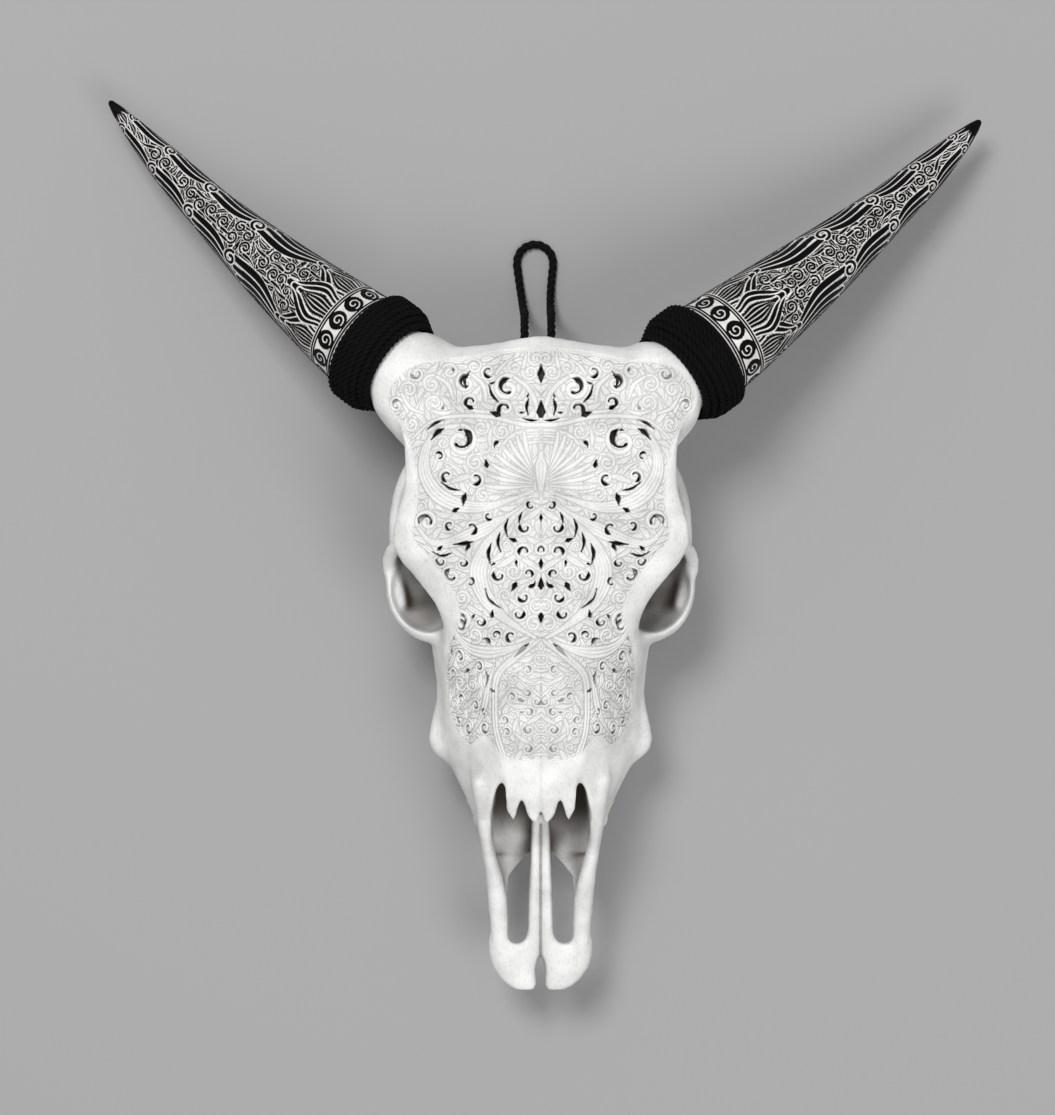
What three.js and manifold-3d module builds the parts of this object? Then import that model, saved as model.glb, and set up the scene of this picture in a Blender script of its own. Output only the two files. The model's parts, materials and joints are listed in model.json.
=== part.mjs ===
/**
 * Carved cattle skull lying face up: the skull without its lower jaw, parted along its main sutures,
 * with both horns, the rope wound round each horn base and the loop of cord that it hangs by.
 * Millimetres, +Z up. +Y runs from the nose to the poll, and +X is the animal's left side.
 */
import * as THREE from 'three';
import { mergeVertices } from 'three/addons/utils/BufferGeometryUtils.js';
import Module from 'manifold-3d';

const wasm = await Module();
wasm.setup();

const { clamp, lerp, smoothstep } = THREE.MathUtils;
const vec = (x, y, z) => new THREE.Vector3(x, y, z);

// Clearance between pieces that touch, also the width of each suture
const GAP = 0.3;

// Stations along the skull, as distances behind the nose tip
const AT = {
  diastema: 103, nostril: 142, tuber: 192, face: 221, cheek: 262, orbit: 303,
  brow: 336, temple: 384, hornBase: 442, crown: 466, poll: 484,
};
const SECTION_STEP = 13;
const SECTION_POINTS_PER_SPAN = 3;

// Roof of the skull: its height on the midline, and the edge where it turns down
const ROOF_HEIGHT = profile({
  diastema: 126, nostril: 137, tuber: 143, face: 146, cheek: 149, orbit: 152, brow: 155,
  temple: 157, hornBase: 157, crown: 154, poll: 147,
});
const ROOF_EDGE = profile({
  diastema: 34, nostril: 38, tuber: 43, face: 47, cheek: 61, orbit: 87, brow: 111, temple: 101,
  hornBase: 104, crown: 97, poll: 82,
});
const ROOF_EDGE_DROP = profile({
  diastema: 36, nostril: 15, tuber: 17, face: 19, cheek: 21, orbit: 18, brow: 17, temple: 14,
  hornBase: 14, crown: 16, poll: 14,
});
// Under the roof's edge: the hollow of the temple, or the slope of the face
const LIP_WIDTH = profile({
  diastema: 38, nostril: 46, tuber: 59, face: 62, cheek: 73, orbit: 74, brow: 84, temple: 78,
  hornBase: 84, crown: 80, poll: 66,
});
const LIP_HEIGHT = profile({
  diastema: 80, nostril: 104, tuber: 106, face: 110, cheek: 112, orbit: 114, brow: 116,
  temple: 120, hornBase: 116, crown: 112, poll: 112,
});
// Side wall of the braincase and of the upper jaw
const WALL_WIDTH = profile({
  diastema: 41, nostril: 53, tuber: 77, face: 75, cheek: 78, orbit: 62, brow: 54, temple: 56,
  hornBase: 64, crown: 66, poll: 58,
});
const WALL_HEIGHT = profile({
  diastema: 71, nostril: 80, tuber: 78, face: 82, cheek: 84, orbit: 84, brow: 86, temple: 86,
  hornBase: 84, crown: 82, poll: 84,
});
// Lower corners, which carry the teeth in front, and the base on the midline
const BASE_WIDTH = profile({
  diastema: 37, nostril: 52, tuber: 69, face: 70, cheek: 62, orbit: 42, brow: 36, temple: 38,
  hornBase: 52, crown: 58, poll: 50,
});
const BASE_HEIGHT = profile({
  diastema: 60, nostril: 47, tuber: 38, face: 32, cheek: 28, orbit: 40, brow: 50, temple: 50,
  hornBase: 48, crown: 50, poll: 58,
});
const FLOOR_HEIGHT = profile({
  diastema: 63, nostril: 58, tuber: 54, face: 50, cheek: 46, orbit: 44, brow: 42, temple: 36,
  hornBase: 34, crown: 40, poll: 54,
});

// Back of the skull: how its plane leans, how far its rim rounds in and the boss of the poll
const NUCHAL_LEAN = 0.16;
const NUCHAL_ROUNDING = 0.14;
const NUCHAL_CENTRE_HEIGHT = 104;
const POLL_BOSS = { height: 7, width: 34 };

// Eye socket: the hollow, and the cup of the cheekbone round it
const ORBIT = { centre: vec(84, 306, 101), radii: vec(29, 35, 32) };
const ORBIT_CUP = { centre: vec(78, 304, 88), radii: vec(39, 42, 26) };
// Bar behind the eye socket, and the arch that runs back from the cup into the braincase
const ORBIT_BAR = [vec(102, 338, 128), vec(110, 332, 112), vec(113, 324, 98), vec(112, 314, 86)];
const ORBIT_BAR_HALF = { across: 5, along: 7 };
const CHEEK_ARCH = [
  vec(102, 288, 80), vec(108, 312, 77), vec(110, 345, 71), vec(106, 376, 66), vec(90, 404, 64),
  vec(42, 414, 64),
];
const CHEEK_ARCH_HALF = { front: [5, 12], rear: [9, 7] };
const ARCH_SUTURES = [{ y: 336, inner: 98 }, { y: 386, inner: 80 }];
const ARCH_REACH = { outer: 130, bottom: 50, top: 92 };
// Knob of the face over the third cheek tooth, with the ridge that runs back from it
const FACIAL_RIDGE = [vec(68, 172, 72), vec(76, 191, 73), vec(71, 224, 76), vec(74, 262, 80)];
const FACIAL_RIDGE_HALF = smoothCurve([[0, 3], [0.25, 10], [0.5, 8], [1, 9]]);

// Under the braincase: the joint knobs of the neck, the ear capsules, the pointed processes beside
// them that reach the floor, and the plates behind the palate
const CONDYLE = { centre: vec(24, 462, 44), radii: vec(15, 17, 20) };
const EAR_CAPSULE = { centre: vec(42, 414, 44), radii: vec(12, 18, 15) };
const JUGULAR = [vec(56, 448, 66), vec(54, 450, 40), vec(50, 448, 18), vec(49, 447, -3)];
const JUGULAR_HALF = { top: [15, 13], foot: [6, 7] };
const PTERYGOID = [vec(24, 268, 44), vec(23, 292, 36), vec(21, 318, 34), vec(20, 342, 44)];
const PTERYGOID_HALF = [4.5, 14];
const NASAL_CAVITY = { front: 80, rear: 268, halfWidth: 37, floor: 66, roofThickness: 7 };
const CHOANA = { centre: vec(0, 302, 46), radii: vec(18, 34, 22) };
const FORAMEN_MAGNUM = { centre: vec(0, 474, 60), radii: vec(17, 26, 15) };

// Cheek teeth, listed from the last molar forwards
const TOOTH_ROW = { rear: 251, frontWidth: 42, rearWidth: 61, alveolusSlope: 0.18, crownSlope: 0.24 };
const TOOTH_LENGTHS = [29, 28, 26, 16, 16, 15];
const TOOTH_WIDTHS = [23, 25, 25, 21, 19, 16];
const TOOTH_ROOT_TOP = 58;
const MOLARS = 3;
const TOOTH_LOBES = { molar: 0.13, premolar: 0.04 };
const TOOTH_SIDES = 10;

// Nasal bones: the pair's half width and the points at their front
const NASAL = { rear: 258, rearPeak: 274, tip: 131, notch: 146, halfWidthRear: 33, halfWidthTip: 26 };
const NASAL_THICKNESS = 6;
const NASAL_ARCH = 9;
const NOSE_SLIT = { top: 166, halfWidth: 36.5, front: 80, floor: 74 };
// Palate: the slanting front edge of its plate, by half its plan, and the fissure in front of it
const PALATE_EDGE = [[10, 103], [17, 95], [24, 86], [26.5, 64]];
const PALATE = { rear: 150, frontWidth: 38, rearWidth: 44, height: 70, thickness: 5, slopeDeg: -4 };

// Premaxilla: the flared body at the nose tip, the bar up the side and the thin bar on the midline
const PREMAXILLA = {
  rear: 43, height: 66, sutureTop: vec(0, 152, 116), sutureFoot: vec(0, 92, 56),
  outer: smoothCurve([[0, 18], [4, 25.5], [14, 35], [27, 39.5], [43, 39]]),
  inner: smoothCurve([[0, 5], [4, 3], [14, 3.4], [24, 1], [30, 0.6], [43, 0.6]]),
  halfHeight: smoothCurve([[0, 4], [6, 6.5], [24, 7.5], [43, 5]]),
  bar: [vec(30, 20, 66), vec(31, 45, 69), vec(33, 75, 78), vec(39.5, 110, 94), vec(44.5, 142, 108),
    vec(48, 166, 118)],
  barHalf: smoothCurve([[0, 6.5], [0.2, 7], [0.38, 7.6], [0.6, 5], [1, 6]]),
  midlineBar: [vec(5.3, 26, 66), vec(5.2, 60, 70), vec(4.5, 100, 77), vec(3.9, 136, 84)],
};
const FISSURE_END = { x: 18, y: 43, radius: 8 };
const MAXILLA_REAR = 255;
const FLOOR_REACH = 400;
const FACE_TOP = 200;

// Each horn: its axis from the edge of its rope to its tip, by way of one control point
const HORNS = {
  left: { base: vec(96, 458.8, 124), bend: vec(260.6, 580.3, 52), tip: vec(336.6, 661.3, 40) },
  right: { base: vec(-102.6, 465.4, 124), bend: vec(-234.9, 563.5, 52), tip: vec(-329.7, 676.2, 40) },
};
const HORN_RADIUS = smoothCurve([[0, 38.5], [0.08, 38.5], [0.16, 36], [0.325, 29.5], [0.61, 18],
  [0.77, 14], [0.9, 8.5], [0.97, 4.4], [1, 2]]);
const HORN_SEAT = 0.055;
const HORN_SIDES = 18;
// Bony core that each horn sits on, from inside the forehead to the horn's seat
const PEDICLE_RADIUS = 31;
const PEDICLE_ROOT = { from: vec(54, 426, 116), by: vec(80, 446, 121), half: [47, 30] };

// Rope wound round the end of each pedicle and the base of its horn
const ROPE = { diameter: 6, turns: 6, pitch: 5.8, ringsPerTurn: 2, groove: 0.45 };

// Hanging cord: its route from one hole in the back of the skull, down to the floor and back
const CORD_DIAMETER = 6.5;
const CORD_HOLE = { depth: 14, clearance: 0.6 };
const CORD_ROUTE = [
  [8, 468, 98], [8, 481, 98], [8, 492.5, 97], [8, 503.5, 91], [8, 510, 80], [8, 512, 65],
  [8, 512.5, 48], [8, 514, 33], [8, 518.5, 19], [8, 527.5, 8], [8.5, 538, 3.8], [9.4, 548, 3.4],
  [10, 556, 3.4], [8.1, 563, 3.4], [3, 568.1, 3.4], [-4, 570, 3.4], [-11, 568.1, 3.4],
  [-16.1, 563, 3.4], [-18, 556, 3.4], [-17.2, 548, 3.4], [-15.8, 538, 3.8], [-14.2, 527.5, 8],
  [-13, 518.5, 19], [-12.4, 514, 33], [-12.2, 512.5, 48], [-12, 512, 65], [-12, 510, 80],
  [-12, 503.5, 91], [-12, 492.5, 97], [-12, 481, 98], [-12, 468, 98],
];

// Smooth curve through [position, value] knots
function smoothCurve(knots) {
  const last = knots.length - 1;
  const slope = (i) => {
    const [before, after] = [knots[Math.max(i - 1, 0)], knots[Math.min(i + 1, last)]];
    return (after[1] - before[1]) / (after[0] - before[0]);
  };
  return (position) => {
    let i = 0;
    while (i < last - 1 && position > knots[i + 1][0]) i += 1;
    const [[p0, v0], [p1, v1]] = [knots[i], knots[i + 1]];
    const span = p1 - p0;
    const t = clamp((position - p0) / span, 0, 1);
    const [t2, t3] = [t * t, t * t * t];
    return v0 * (2 * t3 - 3 * t2 + 1) + v1 * (3 * t2 - 2 * t3)
      + span * (slope(i) * (t3 - 2 * t2 + t) + slope(i + 1) * (t3 - t2));
  };
}

// Smooth curve along the skull, by named stations
function profile(values) {
  return smoothCurve(Object.entries(values).map(([station, value]) => [AT[station], value]));
}

// Closed mesh through rings of equally many points, with a fan over each end
function loft(rings) {
  const count = rings[0].length;
  const centres = [rings[0], rings.at(-1)].map((ring) => (
    ring.reduce((sum, point) => sum.add(point), vec(0, 0, 0)).divideScalar(count)
  ));
  const points = [...rings.flat(), ...centres];
  const firstCentre = rings.length * count;
  const lastRing = firstCentre - count;
  const index = [];
  for (let i = 0; i < count; i += 1) {
    const next = (i + 1) % count;
    for (let start = 0; start < lastRing; start += count) {
      index.push(start + i, start + next, start + count + i);
      index.push(start + next, start + count + next, start + count + i);
    }
    index.push(firstCentre, next, i);
    index.push(firstCentre + 1, lastRing + i, lastRing + next);
  }
  const geometry = new THREE.BufferGeometry().setFromPoints(points);
  geometry.setIndex(index);
  return geometry;
}

// Tube along a path, with an oval section of half sizes [across, along up] at each place
function tube(path, halfSizes, { sides = 12, steps = 12, up = vec(0, 0, 1) } = {}) {
  const curve = path instanceof THREE.Curve ? path : new THREE.CatmullRomCurve3(path);
  const rings = [];
  for (let step = 0; step <= steps; step += 1) {
    rings.push(ovalRing(curve, step / steps, halfSizes(step / steps), sides, up));
  }
  return loft(rings);
}

function ovalRing(curve, at, [across, along], sides, up) {
  const centre = curve.getPoint(at);
  const tangent = curve.getTangent(clamp(at, 0, 1));
  const side = tangent.clone().cross(up).normalize();
  const lift = side.clone().cross(tangent);
  return Array.from({ length: sides }, (_, i) => {
    const angle = (2 * Math.PI * i) / sides;
    return centre.clone()
      .addScaledVector(side, across * Math.cos(angle))
      .addScaledVector(lift, along * Math.sin(angle));
  });
}

// Solid of a closed geometry, its faces turned outwards
function solid(geometry) {
  const bare = geometry.clone();
  bare.deleteAttribute('normal');
  bare.deleteAttribute('uv');
  const merged = mergeVertices(bare, 1e-5);
  const triVerts = new Uint32Array(merged.index.array);
  const vertProperties = new Float32Array(merged.attributes.position.array);
  if (signedVolume(vertProperties, triVerts) < 0) {
    for (let i = 0; i < triVerts.length; i += 3) {
      [triVerts[i], triVerts[i + 1]] = [triVerts[i + 1], triVerts[i]];
    }
  }
  return new wasm.Manifold(new wasm.Mesh({ numProp: 3, vertProperties, triVerts }));
}

function signedVolume(positions, index) {
  const corner = (i) => vec().fromArray(positions, 3 * index[i]);
  let volume = 0;
  for (let i = 0; i < index.length; i += 3) {
    volume += corner(i).dot(corner(i + 1).cross(corner(i + 2)));
  }
  return volume;
}

const join = (solids) => solids.reduce((whole, piece) => whole.add(piece));
const cut = (body, cutters) => cutters.reduce((rest, cutter) => rest.subtract(cutter), body);
const sides = [1, -1];
const mirrored = (point, side) => vec(point.x * side, point.y, point.z);

function largest(body) {
  return body.decompose().reduce((best, piece) => (piece.volume() > best.volume() ? piece : best));
}

function ellipsoid({ centre, radii }, side = 1, across = 14, around = 9) {
  const geometry = new THREE.SphereGeometry(1, across, around);
  geometry.scale(radii.x, radii.y, radii.z);
  geometry.translate(side * centre.x, centre.y, centre.z);
  return solid(geometry);
}

function block(low, high) {
  const size = high.clone().sub(low);
  const centre = high.clone().add(low).multiplyScalar(0.5);
  return solid(new THREE.BoxGeometry(...size).translate(...centre));
}

// Upright pillar with its axis at [x, y]
function pillar(x, y, radius, bottom, top) {
  const shape = new THREE.CylinderGeometry(radius, radius, top - bottom, 14).rotateX(Math.PI / 2);
  return solid(shape.translate(x, y, (top + bottom) / 2));
}

// Upright prism over a plan outline of [x, y] corners
function prism(corners, bottom, top) {
  const outline = new THREE.Shape(corners.map(([x, y]) => new THREE.Vector2(x, y)));
  const options = { depth: top - bottom, bevelEnabled: false };
  return solid(new THREE.ExtrudeGeometry(outline, options).translate(0, 0, bottom));
}

// Cross section of the skull at one station: a closed curve, alike on both sides
function skullSection(y) {
  const roof = ROOF_HEIGHT(y);
  const edge = ROOF_EDGE(y);
  const half = [
    [0.52 * edge, roof - 0.16 * ROOF_EDGE_DROP(y)],
    [edge, roof - ROOF_EDGE_DROP(y)],
    [LIP_WIDTH(y), LIP_HEIGHT(y)],
    [WALL_WIDTH(y), WALL_HEIGHT(y)],
    [BASE_WIDTH(y), BASE_HEIGHT(y)],
  ];
  const control = [
    vec(0, y, roof),
    ...half.map(([x, z]) => vec(x, y, z)),
    vec(0, y, FLOOR_HEIGHT(y)),
    ...half.toReversed().map(([x, z]) => vec(-x, y, z)),
  ];
  const curve = new THREE.CatmullRomCurve3(control, true, 'centripetal');
  const count = control.length * SECTION_POINTS_PER_SPAN;
  const back = smoothstep(y, AT.hornBase, AT.poll);
  const end = smoothstep(y, AT.crown, AT.poll);
  return Array.from({ length: count }, (_, i) => shapeBack(curve.getPoint(i / count), roof, back, end));
}

// Leans the back of the skull, rounds its rim and raises the boss of the poll
function shapeBack(point, roof, back, end) {
  const shrink = 1 - NUCHAL_ROUNDING * end * end;
  const height = smoothstep(point.z, LIP_HEIGHT(AT.poll) - 10, roof);
  const boss = POLL_BOSS.height * Math.exp(-((point.x / POLL_BOSS.width) ** 2)) * height;
  return vec(
    point.x * shrink,
    point.y + back * (boss - NUCHAL_LEAN * (roof - point.z)),
    lerp(NUCHAL_CENTRE_HEIGHT, point.z, shrink),
  );
}

function skullCore() {
  const rings = [];
  for (let y = AT.diastema; y < AT.crown - 4; y += SECTION_STEP) rings.push(skullSection(y));
  for (const t of [0, 0.4, 0.75, 1]) rings.push(skullSection(lerp(AT.crown, AT.poll, t)));
  return solid(loft(rings));
}

// Nasal cavity under the nasal bones, open at the front
function nasalCavity() {
  const { front, rear, halfWidth, floor, roofThickness } = NASAL_CAVITY;
  const middle = (y) => (ROOF_HEIGHT(y) - roofThickness + floor) / 2;
  const halfHeight = (y) => (ROOF_HEIGHT(y) - roofThickness - floor) / 2;
  const rings = [0, 0.3, 0.6, 0.85, 1].map((t) => {
    const y = lerp(front, rear, t);
    const narrowing = 1 - 0.3 * t ** 4;
    return Array.from({ length: 20 }, (_, i) => {
      const angle = (2 * Math.PI * i) / 20;
      const [c, s] = [Math.cos(angle), Math.sin(angle)];
      const x = halfWidth * narrowing * Math.sign(c) * Math.abs(c) ** 0.6;
      return vec(x, y, middle(y) + halfHeight(y) * Math.sign(s) * Math.abs(s) ** 0.6);
    });
  });
  return solid(loft(rings));
}

const hornAxis = ({ base, bend, tip }) => new THREE.QuadraticBezierCurve3(base, bend, tip);

function pedicle(horn) {
  const axis = hornAxis(horn);
  const side = Math.sign(horn.base.x);
  const { from, by, half } = PEDICLE_ROOT;
  const path = [mirrored(from, side), mirrored(by, side), horn.base, axis.getPoint(HORN_SEAT)];
  return solid(tube(path, (t) => half.map((size) => lerp(size, PEDICLE_RADIUS, t)), { sides: 16, steps: 7 }));
}

// Bar and arch of the cheekbone
function cheekbone(side) {
  const { across, along } = ORBIT_BAR_HALF;
  const { front, rear } = CHEEK_ARCH_HALF;
  const bar = ORBIT_BAR.map((point) => mirrored(point, side));
  const arch = CHEEK_ARCH.map((point) => mirrored(point, side));
  return join([
    solid(tube(bar, () => [along, across], { sides: 8, steps: 6 })),
    solid(tube(arch, (t) => [lerp(front[0], rear[0], t ** 3), lerp(front[1], rear[1], t)], { sides: 8 })),
  ]);
}

function facialRidge(side) {
  const ridge = FACIAL_RIDGE.map((point) => mirrored(point, side));
  const half = (t) => [FACIAL_RIDGE_HALF(t), FACIAL_RIDGE_HALF(t)];
  return solid(tube(ridge, half, { sides: 8, steps: 9 }));
}

function baseOfSkull(side) {
  const jugular = JUGULAR.map((point) => mirrored(point, side));
  const pterygoid = PTERYGOID.map((point) => mirrored(point, side));
  const { top, foot } = JUGULAR_HALF;
  const taper = (t) => [lerp(top[0], foot[0], t), lerp(top[1], foot[1], t)];
  return join([
    ellipsoid(CONDYLE, side, 12, 8),
    ellipsoid(EAR_CAPSULE, side, 10, 6),
    solid(tube(jugular, taper, { sides: 8, steps: 6, up: vec(0, 1, 0) })),
    solid(tube(pterygoid, () => PTERYGOID_HALF, { sides: 8, steps: 5 })),
  ]);
}

// Cheek teeth, two lobed and flat at the crown, with the last molar's crown on the floor
function toothRow(side) {
  const { rear, frontWidth, rearWidth, alveolusSlope, crownSlope } = TOOTH_ROW;
  const rowLength = TOOTH_LENGTHS.reduce((sum, length) => sum + length);
  let edge = rear;
  return join(TOOTH_LENGTHS.map((length, n) => {
    const y = edge - length / 2;
    edge -= length;
    const x = side * lerp(rearWidth, frontWidth, ((rear - y) / rowLength) ** 2);
    const crown = crownSlope * Math.max(rear - TOOTH_LENGTHS[0] - y, 0);
    const neck = BASE_HEIGHT(AT.cheek) + alveolusSlope * (rear - y);
    const lobes = n < MOLARS ? TOOTH_LOBES.molar : TOOTH_LOBES.premolar;
    const ring = (z, scale) => Array.from({ length: TOOTH_SIDES }, (_, i) => {
      const angle = (2 * Math.PI * i) / TOOTH_SIDES;
      const [c, s] = [Math.cos(angle), Math.sin(angle)];
      const waist = 1 - lobes * Math.cos(2 * angle) * Math.abs(c);
      return vec(
        x + 0.5 * TOOTH_WIDTHS[n] * scale * waist * Math.sign(c) * Math.abs(c) ** 0.7,
        y + 0.5 * (length + 0.6) * scale * Math.sign(s) * Math.abs(s) ** 0.7,
        z,
      );
    });
    return solid(loft([
      ring(crown, 0.86), ring(crown + 2.5, 1), ring(neck, 0.94), ring(TOOTH_ROOT_TOP, 0.8),
    ]));
  }));
}

// Plate of the palate in front of the teeth, with its slanting front edge
function palatePlate(side) {
  const { rear, frontWidth, rearWidth, height, thickness, slopeDeg } = PALATE;
  const front = PALATE_EDGE.at(-1)[1];
  const corners = [[PALATE_EDGE[0][0] / 2, rear], ...PALATE_EDGE, [frontWidth, front], [rearWidth, rear]];
  const plate = prism(corners.map(([x, y]) => [x * side, y]), -thickness / 2, thickness / 2);
  return plate.rotate([slopeDeg, 0, 0]).translate([0, 0, height]);
}

// Room in front of the palate's slanting edges
function palatineFissure() {
  const corners = [...PALATE_EDGE, ...PALATE_EDGE.toReversed().map(([x, y]) => [-x, y])];
  return prism(corners, 0, NOSE_SLIT.floor);
}

function premaxilla(side) {
  const { rear, height, outer, inner, halfHeight, barHalf } = PREMAXILLA;
  const bar = PREMAXILLA.bar.map((point) => mirrored(point, side));
  const midlineBar = PREMAXILLA.midlineBar.map((point) => mirrored(point, side));
  const body = loft([0, 3, 8, 16, 26, 35, rear].map((y) => {
    const middle = (outer(y) + inner(y)) / 2;
    return Array.from({ length: 12 }, (_, i) => {
      const angle = (2 * Math.PI * i) / 12;
      const [c, s] = [Math.cos(angle), Math.sin(angle)];
      const x = middle + ((outer(y) - inner(y)) / 2) * Math.sign(c) * Math.abs(c) ** 0.7;
      return vec(side * x, y, height + halfHeight(y) * Math.sign(s) * Math.abs(s) ** 0.7);
    });
  }));
  const fissureEnd = pillar(side * FISSURE_END.x, FISSURE_END.y, FISSURE_END.radius, 0, FACE_TOP);
  return join([
    solid(body).subtract(fissureEnd),
    solid(tube(bar, (t) => [barHalf(t), lerp(7, 10, t)], { sides: 8, steps: 11 })),
    solid(tube(midlineBar, (t) => [lerp(4.9, 3.6, t), lerp(5, 6.5, t)], { sides: 8, steps: 5 })),
  ]);
}

// Plan outline of the nasal bones, widened by a margin; the front has two points on each side
function nasalOutline(margin) {
  const { rear, rearPeak, tip, notch, halfWidthRear, halfWidthTip } = NASAL;
  const half = [
    [4, tip], [10, tip + 6], [14.5, notch], [20, tip + 1.5], [halfWidthTip - 1, notch - 4], [halfWidthTip, notch + 12],
    [halfWidthRear, rear - 70], [halfWidthRear - 2, rear - 20], [halfWidthRear - 14, rear + 4],
  ];
  const grown = half.map(([x, y]) => [x + margin, y + (y > rear ? margin : 0)]);
  return [
    [0, tip + 8], ...grown, [0, rearPeak + margin], ...grown.toReversed().map(([x, y]) => [-x, y]),
  ];
}

// Nasal bones as an arched plate that follows the roof
function nasalPlate() {
  const { tip, rearPeak } = NASAL;
  const rings = [];
  for (let y = tip - 4; y <= rearPeak + 6; y += 9) {
    const roof = y > AT.nostril ? ROOF_HEIGHT(y) : ROOF_HEIGHT(AT.nostril) - 0.25 * (AT.nostril - y);
    const ring = [-1, -0.75, -0.4, 0, 0.4, 0.75, 1].map((f) => vec(40 * f, y, roof - NASAL_ARCH * f * f));
    const under = ring.toReversed().map((point) => point.clone().add(vec(0, 0, -NASAL_THICKNESS)));
    rings.push([...ring, ...under]);
  }
  const plate = solid(loft(rings));
  return plate.intersect(prism(nasalOutline(0), 0, FACE_TOP));
}

// The open front of the nose on either side of the nasal bones
function noseSlit() {
  const { top, halfWidth, front, floor } = NOSE_SLIT;
  const half = [[27, top], [33, top - 12], [halfWidth, top - 30], [halfWidth, front]];
  const corners = [...half, ...half.toReversed().map(([x, y]) => [-x, y])];
  return prism(corners, floor, FACE_TOP);
}

// Thin slab across the bar of the premaxilla, along its slanting suture
function premaxillaSuture(side) {
  const { sutureTop, sutureFoot } = PREMAXILLA;
  const run = sutureTop.clone().sub(sutureFoot);
  const slab = new THREE.BoxGeometry(60, GAP, 140);
  slab.rotateX(-Math.atan2(run.y, run.z));
  const middle = sutureTop.clone().add(sutureFoot).multiplyScalar(0.5);
  slab.translate(side * 40.5, middle.y, middle.z);
  return solid(slab);
}

// Thin slabs across the arch behind the eye socket, at either end of its free length
function archSutures(side) {
  const { outer, bottom, top } = ARCH_REACH;
  return ARCH_SUTURES.map(({ y, inner }) => {
    const [low, high] = [side * inner, side * outer].toSorted((a, b) => a - b);
    return block(vec(low, y, bottom), vec(high, y + GAP, top));
  });
}

// Hole in the back of the skull for one end of the cord
function cordHole([x, y, z]) {
  const radius = CORD_DIAMETER / 2 + CORD_HOLE.clearance;
  const hole = new THREE.CylinderGeometry(radius, radius, 4 * CORD_HOLE.depth, 12);
  return solid(hole.translate(x, y + 2 * CORD_HOLE.depth - GAP, z));
}

// Rings round a horn's axis between two places on it, of a given radius at each
function hornRings(horn, from, to, count, radius) {
  const axis = hornAxis(horn);
  return Array.from({ length: count + 1 }, (_, i) => {
    const at = lerp(from, to, i / count);
    return ovalRing(axis, at, [radius(at), radius(at)], HORN_SIDES, vec(0, 0, 1));
  });
}

// Horn from its seat on the pedicle to its tip, grown by a margin where it cuts its neighbours
function hornSolid(horn, margin = 0) {
  const seat = HORN_SEAT - margin / hornAxis(horn).getLength();
  return solid(loft(hornRings(horn, seat, 1, 17, (at) => HORN_RADIUS(at) + margin)));
}

// Room round the pedicle's end for the rope and, past the pedicle, for the horn
function ropeSpace(horn) {
  const margin = GAP / hornAxis(horn).getLength();
  const room = solid(loft(hornRings(horn, -margin, 0.2, 2, () => 2 * PEDICLE_RADIUS)));
  return room.subtract(solid(loft(hornRings(horn, -0.1, HORN_SEAT - margin, 2, () => PEDICLE_RADIUS))));
}

// Turns of rope as ridges round the pedicle's end and the horn's base
function ropeWinding(horn) {
  const ropeLength = (ROPE.turns * ROPE.pitch) / hornAxis(horn).getLength();
  const radius = (at) => {
    const turn = (ROPE.turns * at) / ropeLength;
    const under = lerp(PEDICLE_RADIUS, HORN_RADIUS(HORN_SEAT), smoothstep(at, 0, HORN_SEAT));
    const ridge = Math.abs(Math.sin(Math.PI * turn));
    return under + ROPE.diameter * lerp(ROPE.groove, 1, ridge);
  };
  const outside = solid(loft(hornRings(horn, 0, ropeLength, ROPE.turns * ROPE.ringsPerTurn, radius)));
  const bore = () => PEDICLE_RADIUS + GAP;
  const pedicleSpace = solid(loft(hornRings(horn, -0.05, HORN_SEAT, 2, bore)));
  return outside.subtract(pedicleSpace).subtract(hornSolid(horn, GAP));
}

function hangingCord() {
  const route = new THREE.CatmullRomCurve3(CORD_ROUTE.map((point) => vec(...point)));
  const section = new THREE.Shape().absarc(0, 0, CORD_DIAMETER / 2, 0, 2 * Math.PI);
  return new THREE.ExtrudeGeometry(section, {
    steps: 48, curveSegments: 4, bevelEnabled: false, extrudePath: route,
  });
}

// Whole skull with flat feet on the floor, then parted along its sutures
function skullParts() {
  const horns = Object.values(HORNS);
  const hollows = [
    ...sides.map((side) => ellipsoid(ORBIT, side, 16, 11)),
    nasalCavity(),
    noseSlit(),
    palatineFissure(),
    ellipsoid(CHOANA),
    ellipsoid(FORAMEN_MAGNUM),
    prism(nasalOutline(GAP), NASAL_CAVITY.floor, FACE_TOP),
  ];
  const cups = sides.map((side) => ellipsoid(ORBIT_CUP, side, 16, 11));
  const outgrowths = sides.flatMap((side) => [
    cheekbone(side), facialRidge(side), baseOfSkull(side), toothRow(side), palatePlate(side),
    premaxilla(side),
  ]);
  const cuts = [
    block(vec(-FLOOR_REACH, 0, -FLOOR_REACH), vec(FLOOR_REACH, 2 * FLOOR_REACH, 0)),
    block(vec(-GAP / 2, -GAP, 0), vec(GAP / 2, MAXILLA_REAR, FACE_TOP)),
    block(vec(-FLOOR_REACH, MAXILLA_REAR, 0), vec(FLOOR_REACH, MAXILLA_REAR + GAP, FACE_TOP)),
    ...sides.flatMap((side) => [premaxillaSuture(side), ...archSutures(side)]),
    ...horns.map(ropeSpace),
    cordHole(CORD_ROUTE[0]),
    cordHole(CORD_ROUTE.at(-1)),
  ];
  const core = cut(join([skullCore(), ...cups]), hollows);
  const whole = join([core, ...outgrowths, ...horns.map(pedicle)]);
  return cut(whole, cuts).decompose();
}

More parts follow.
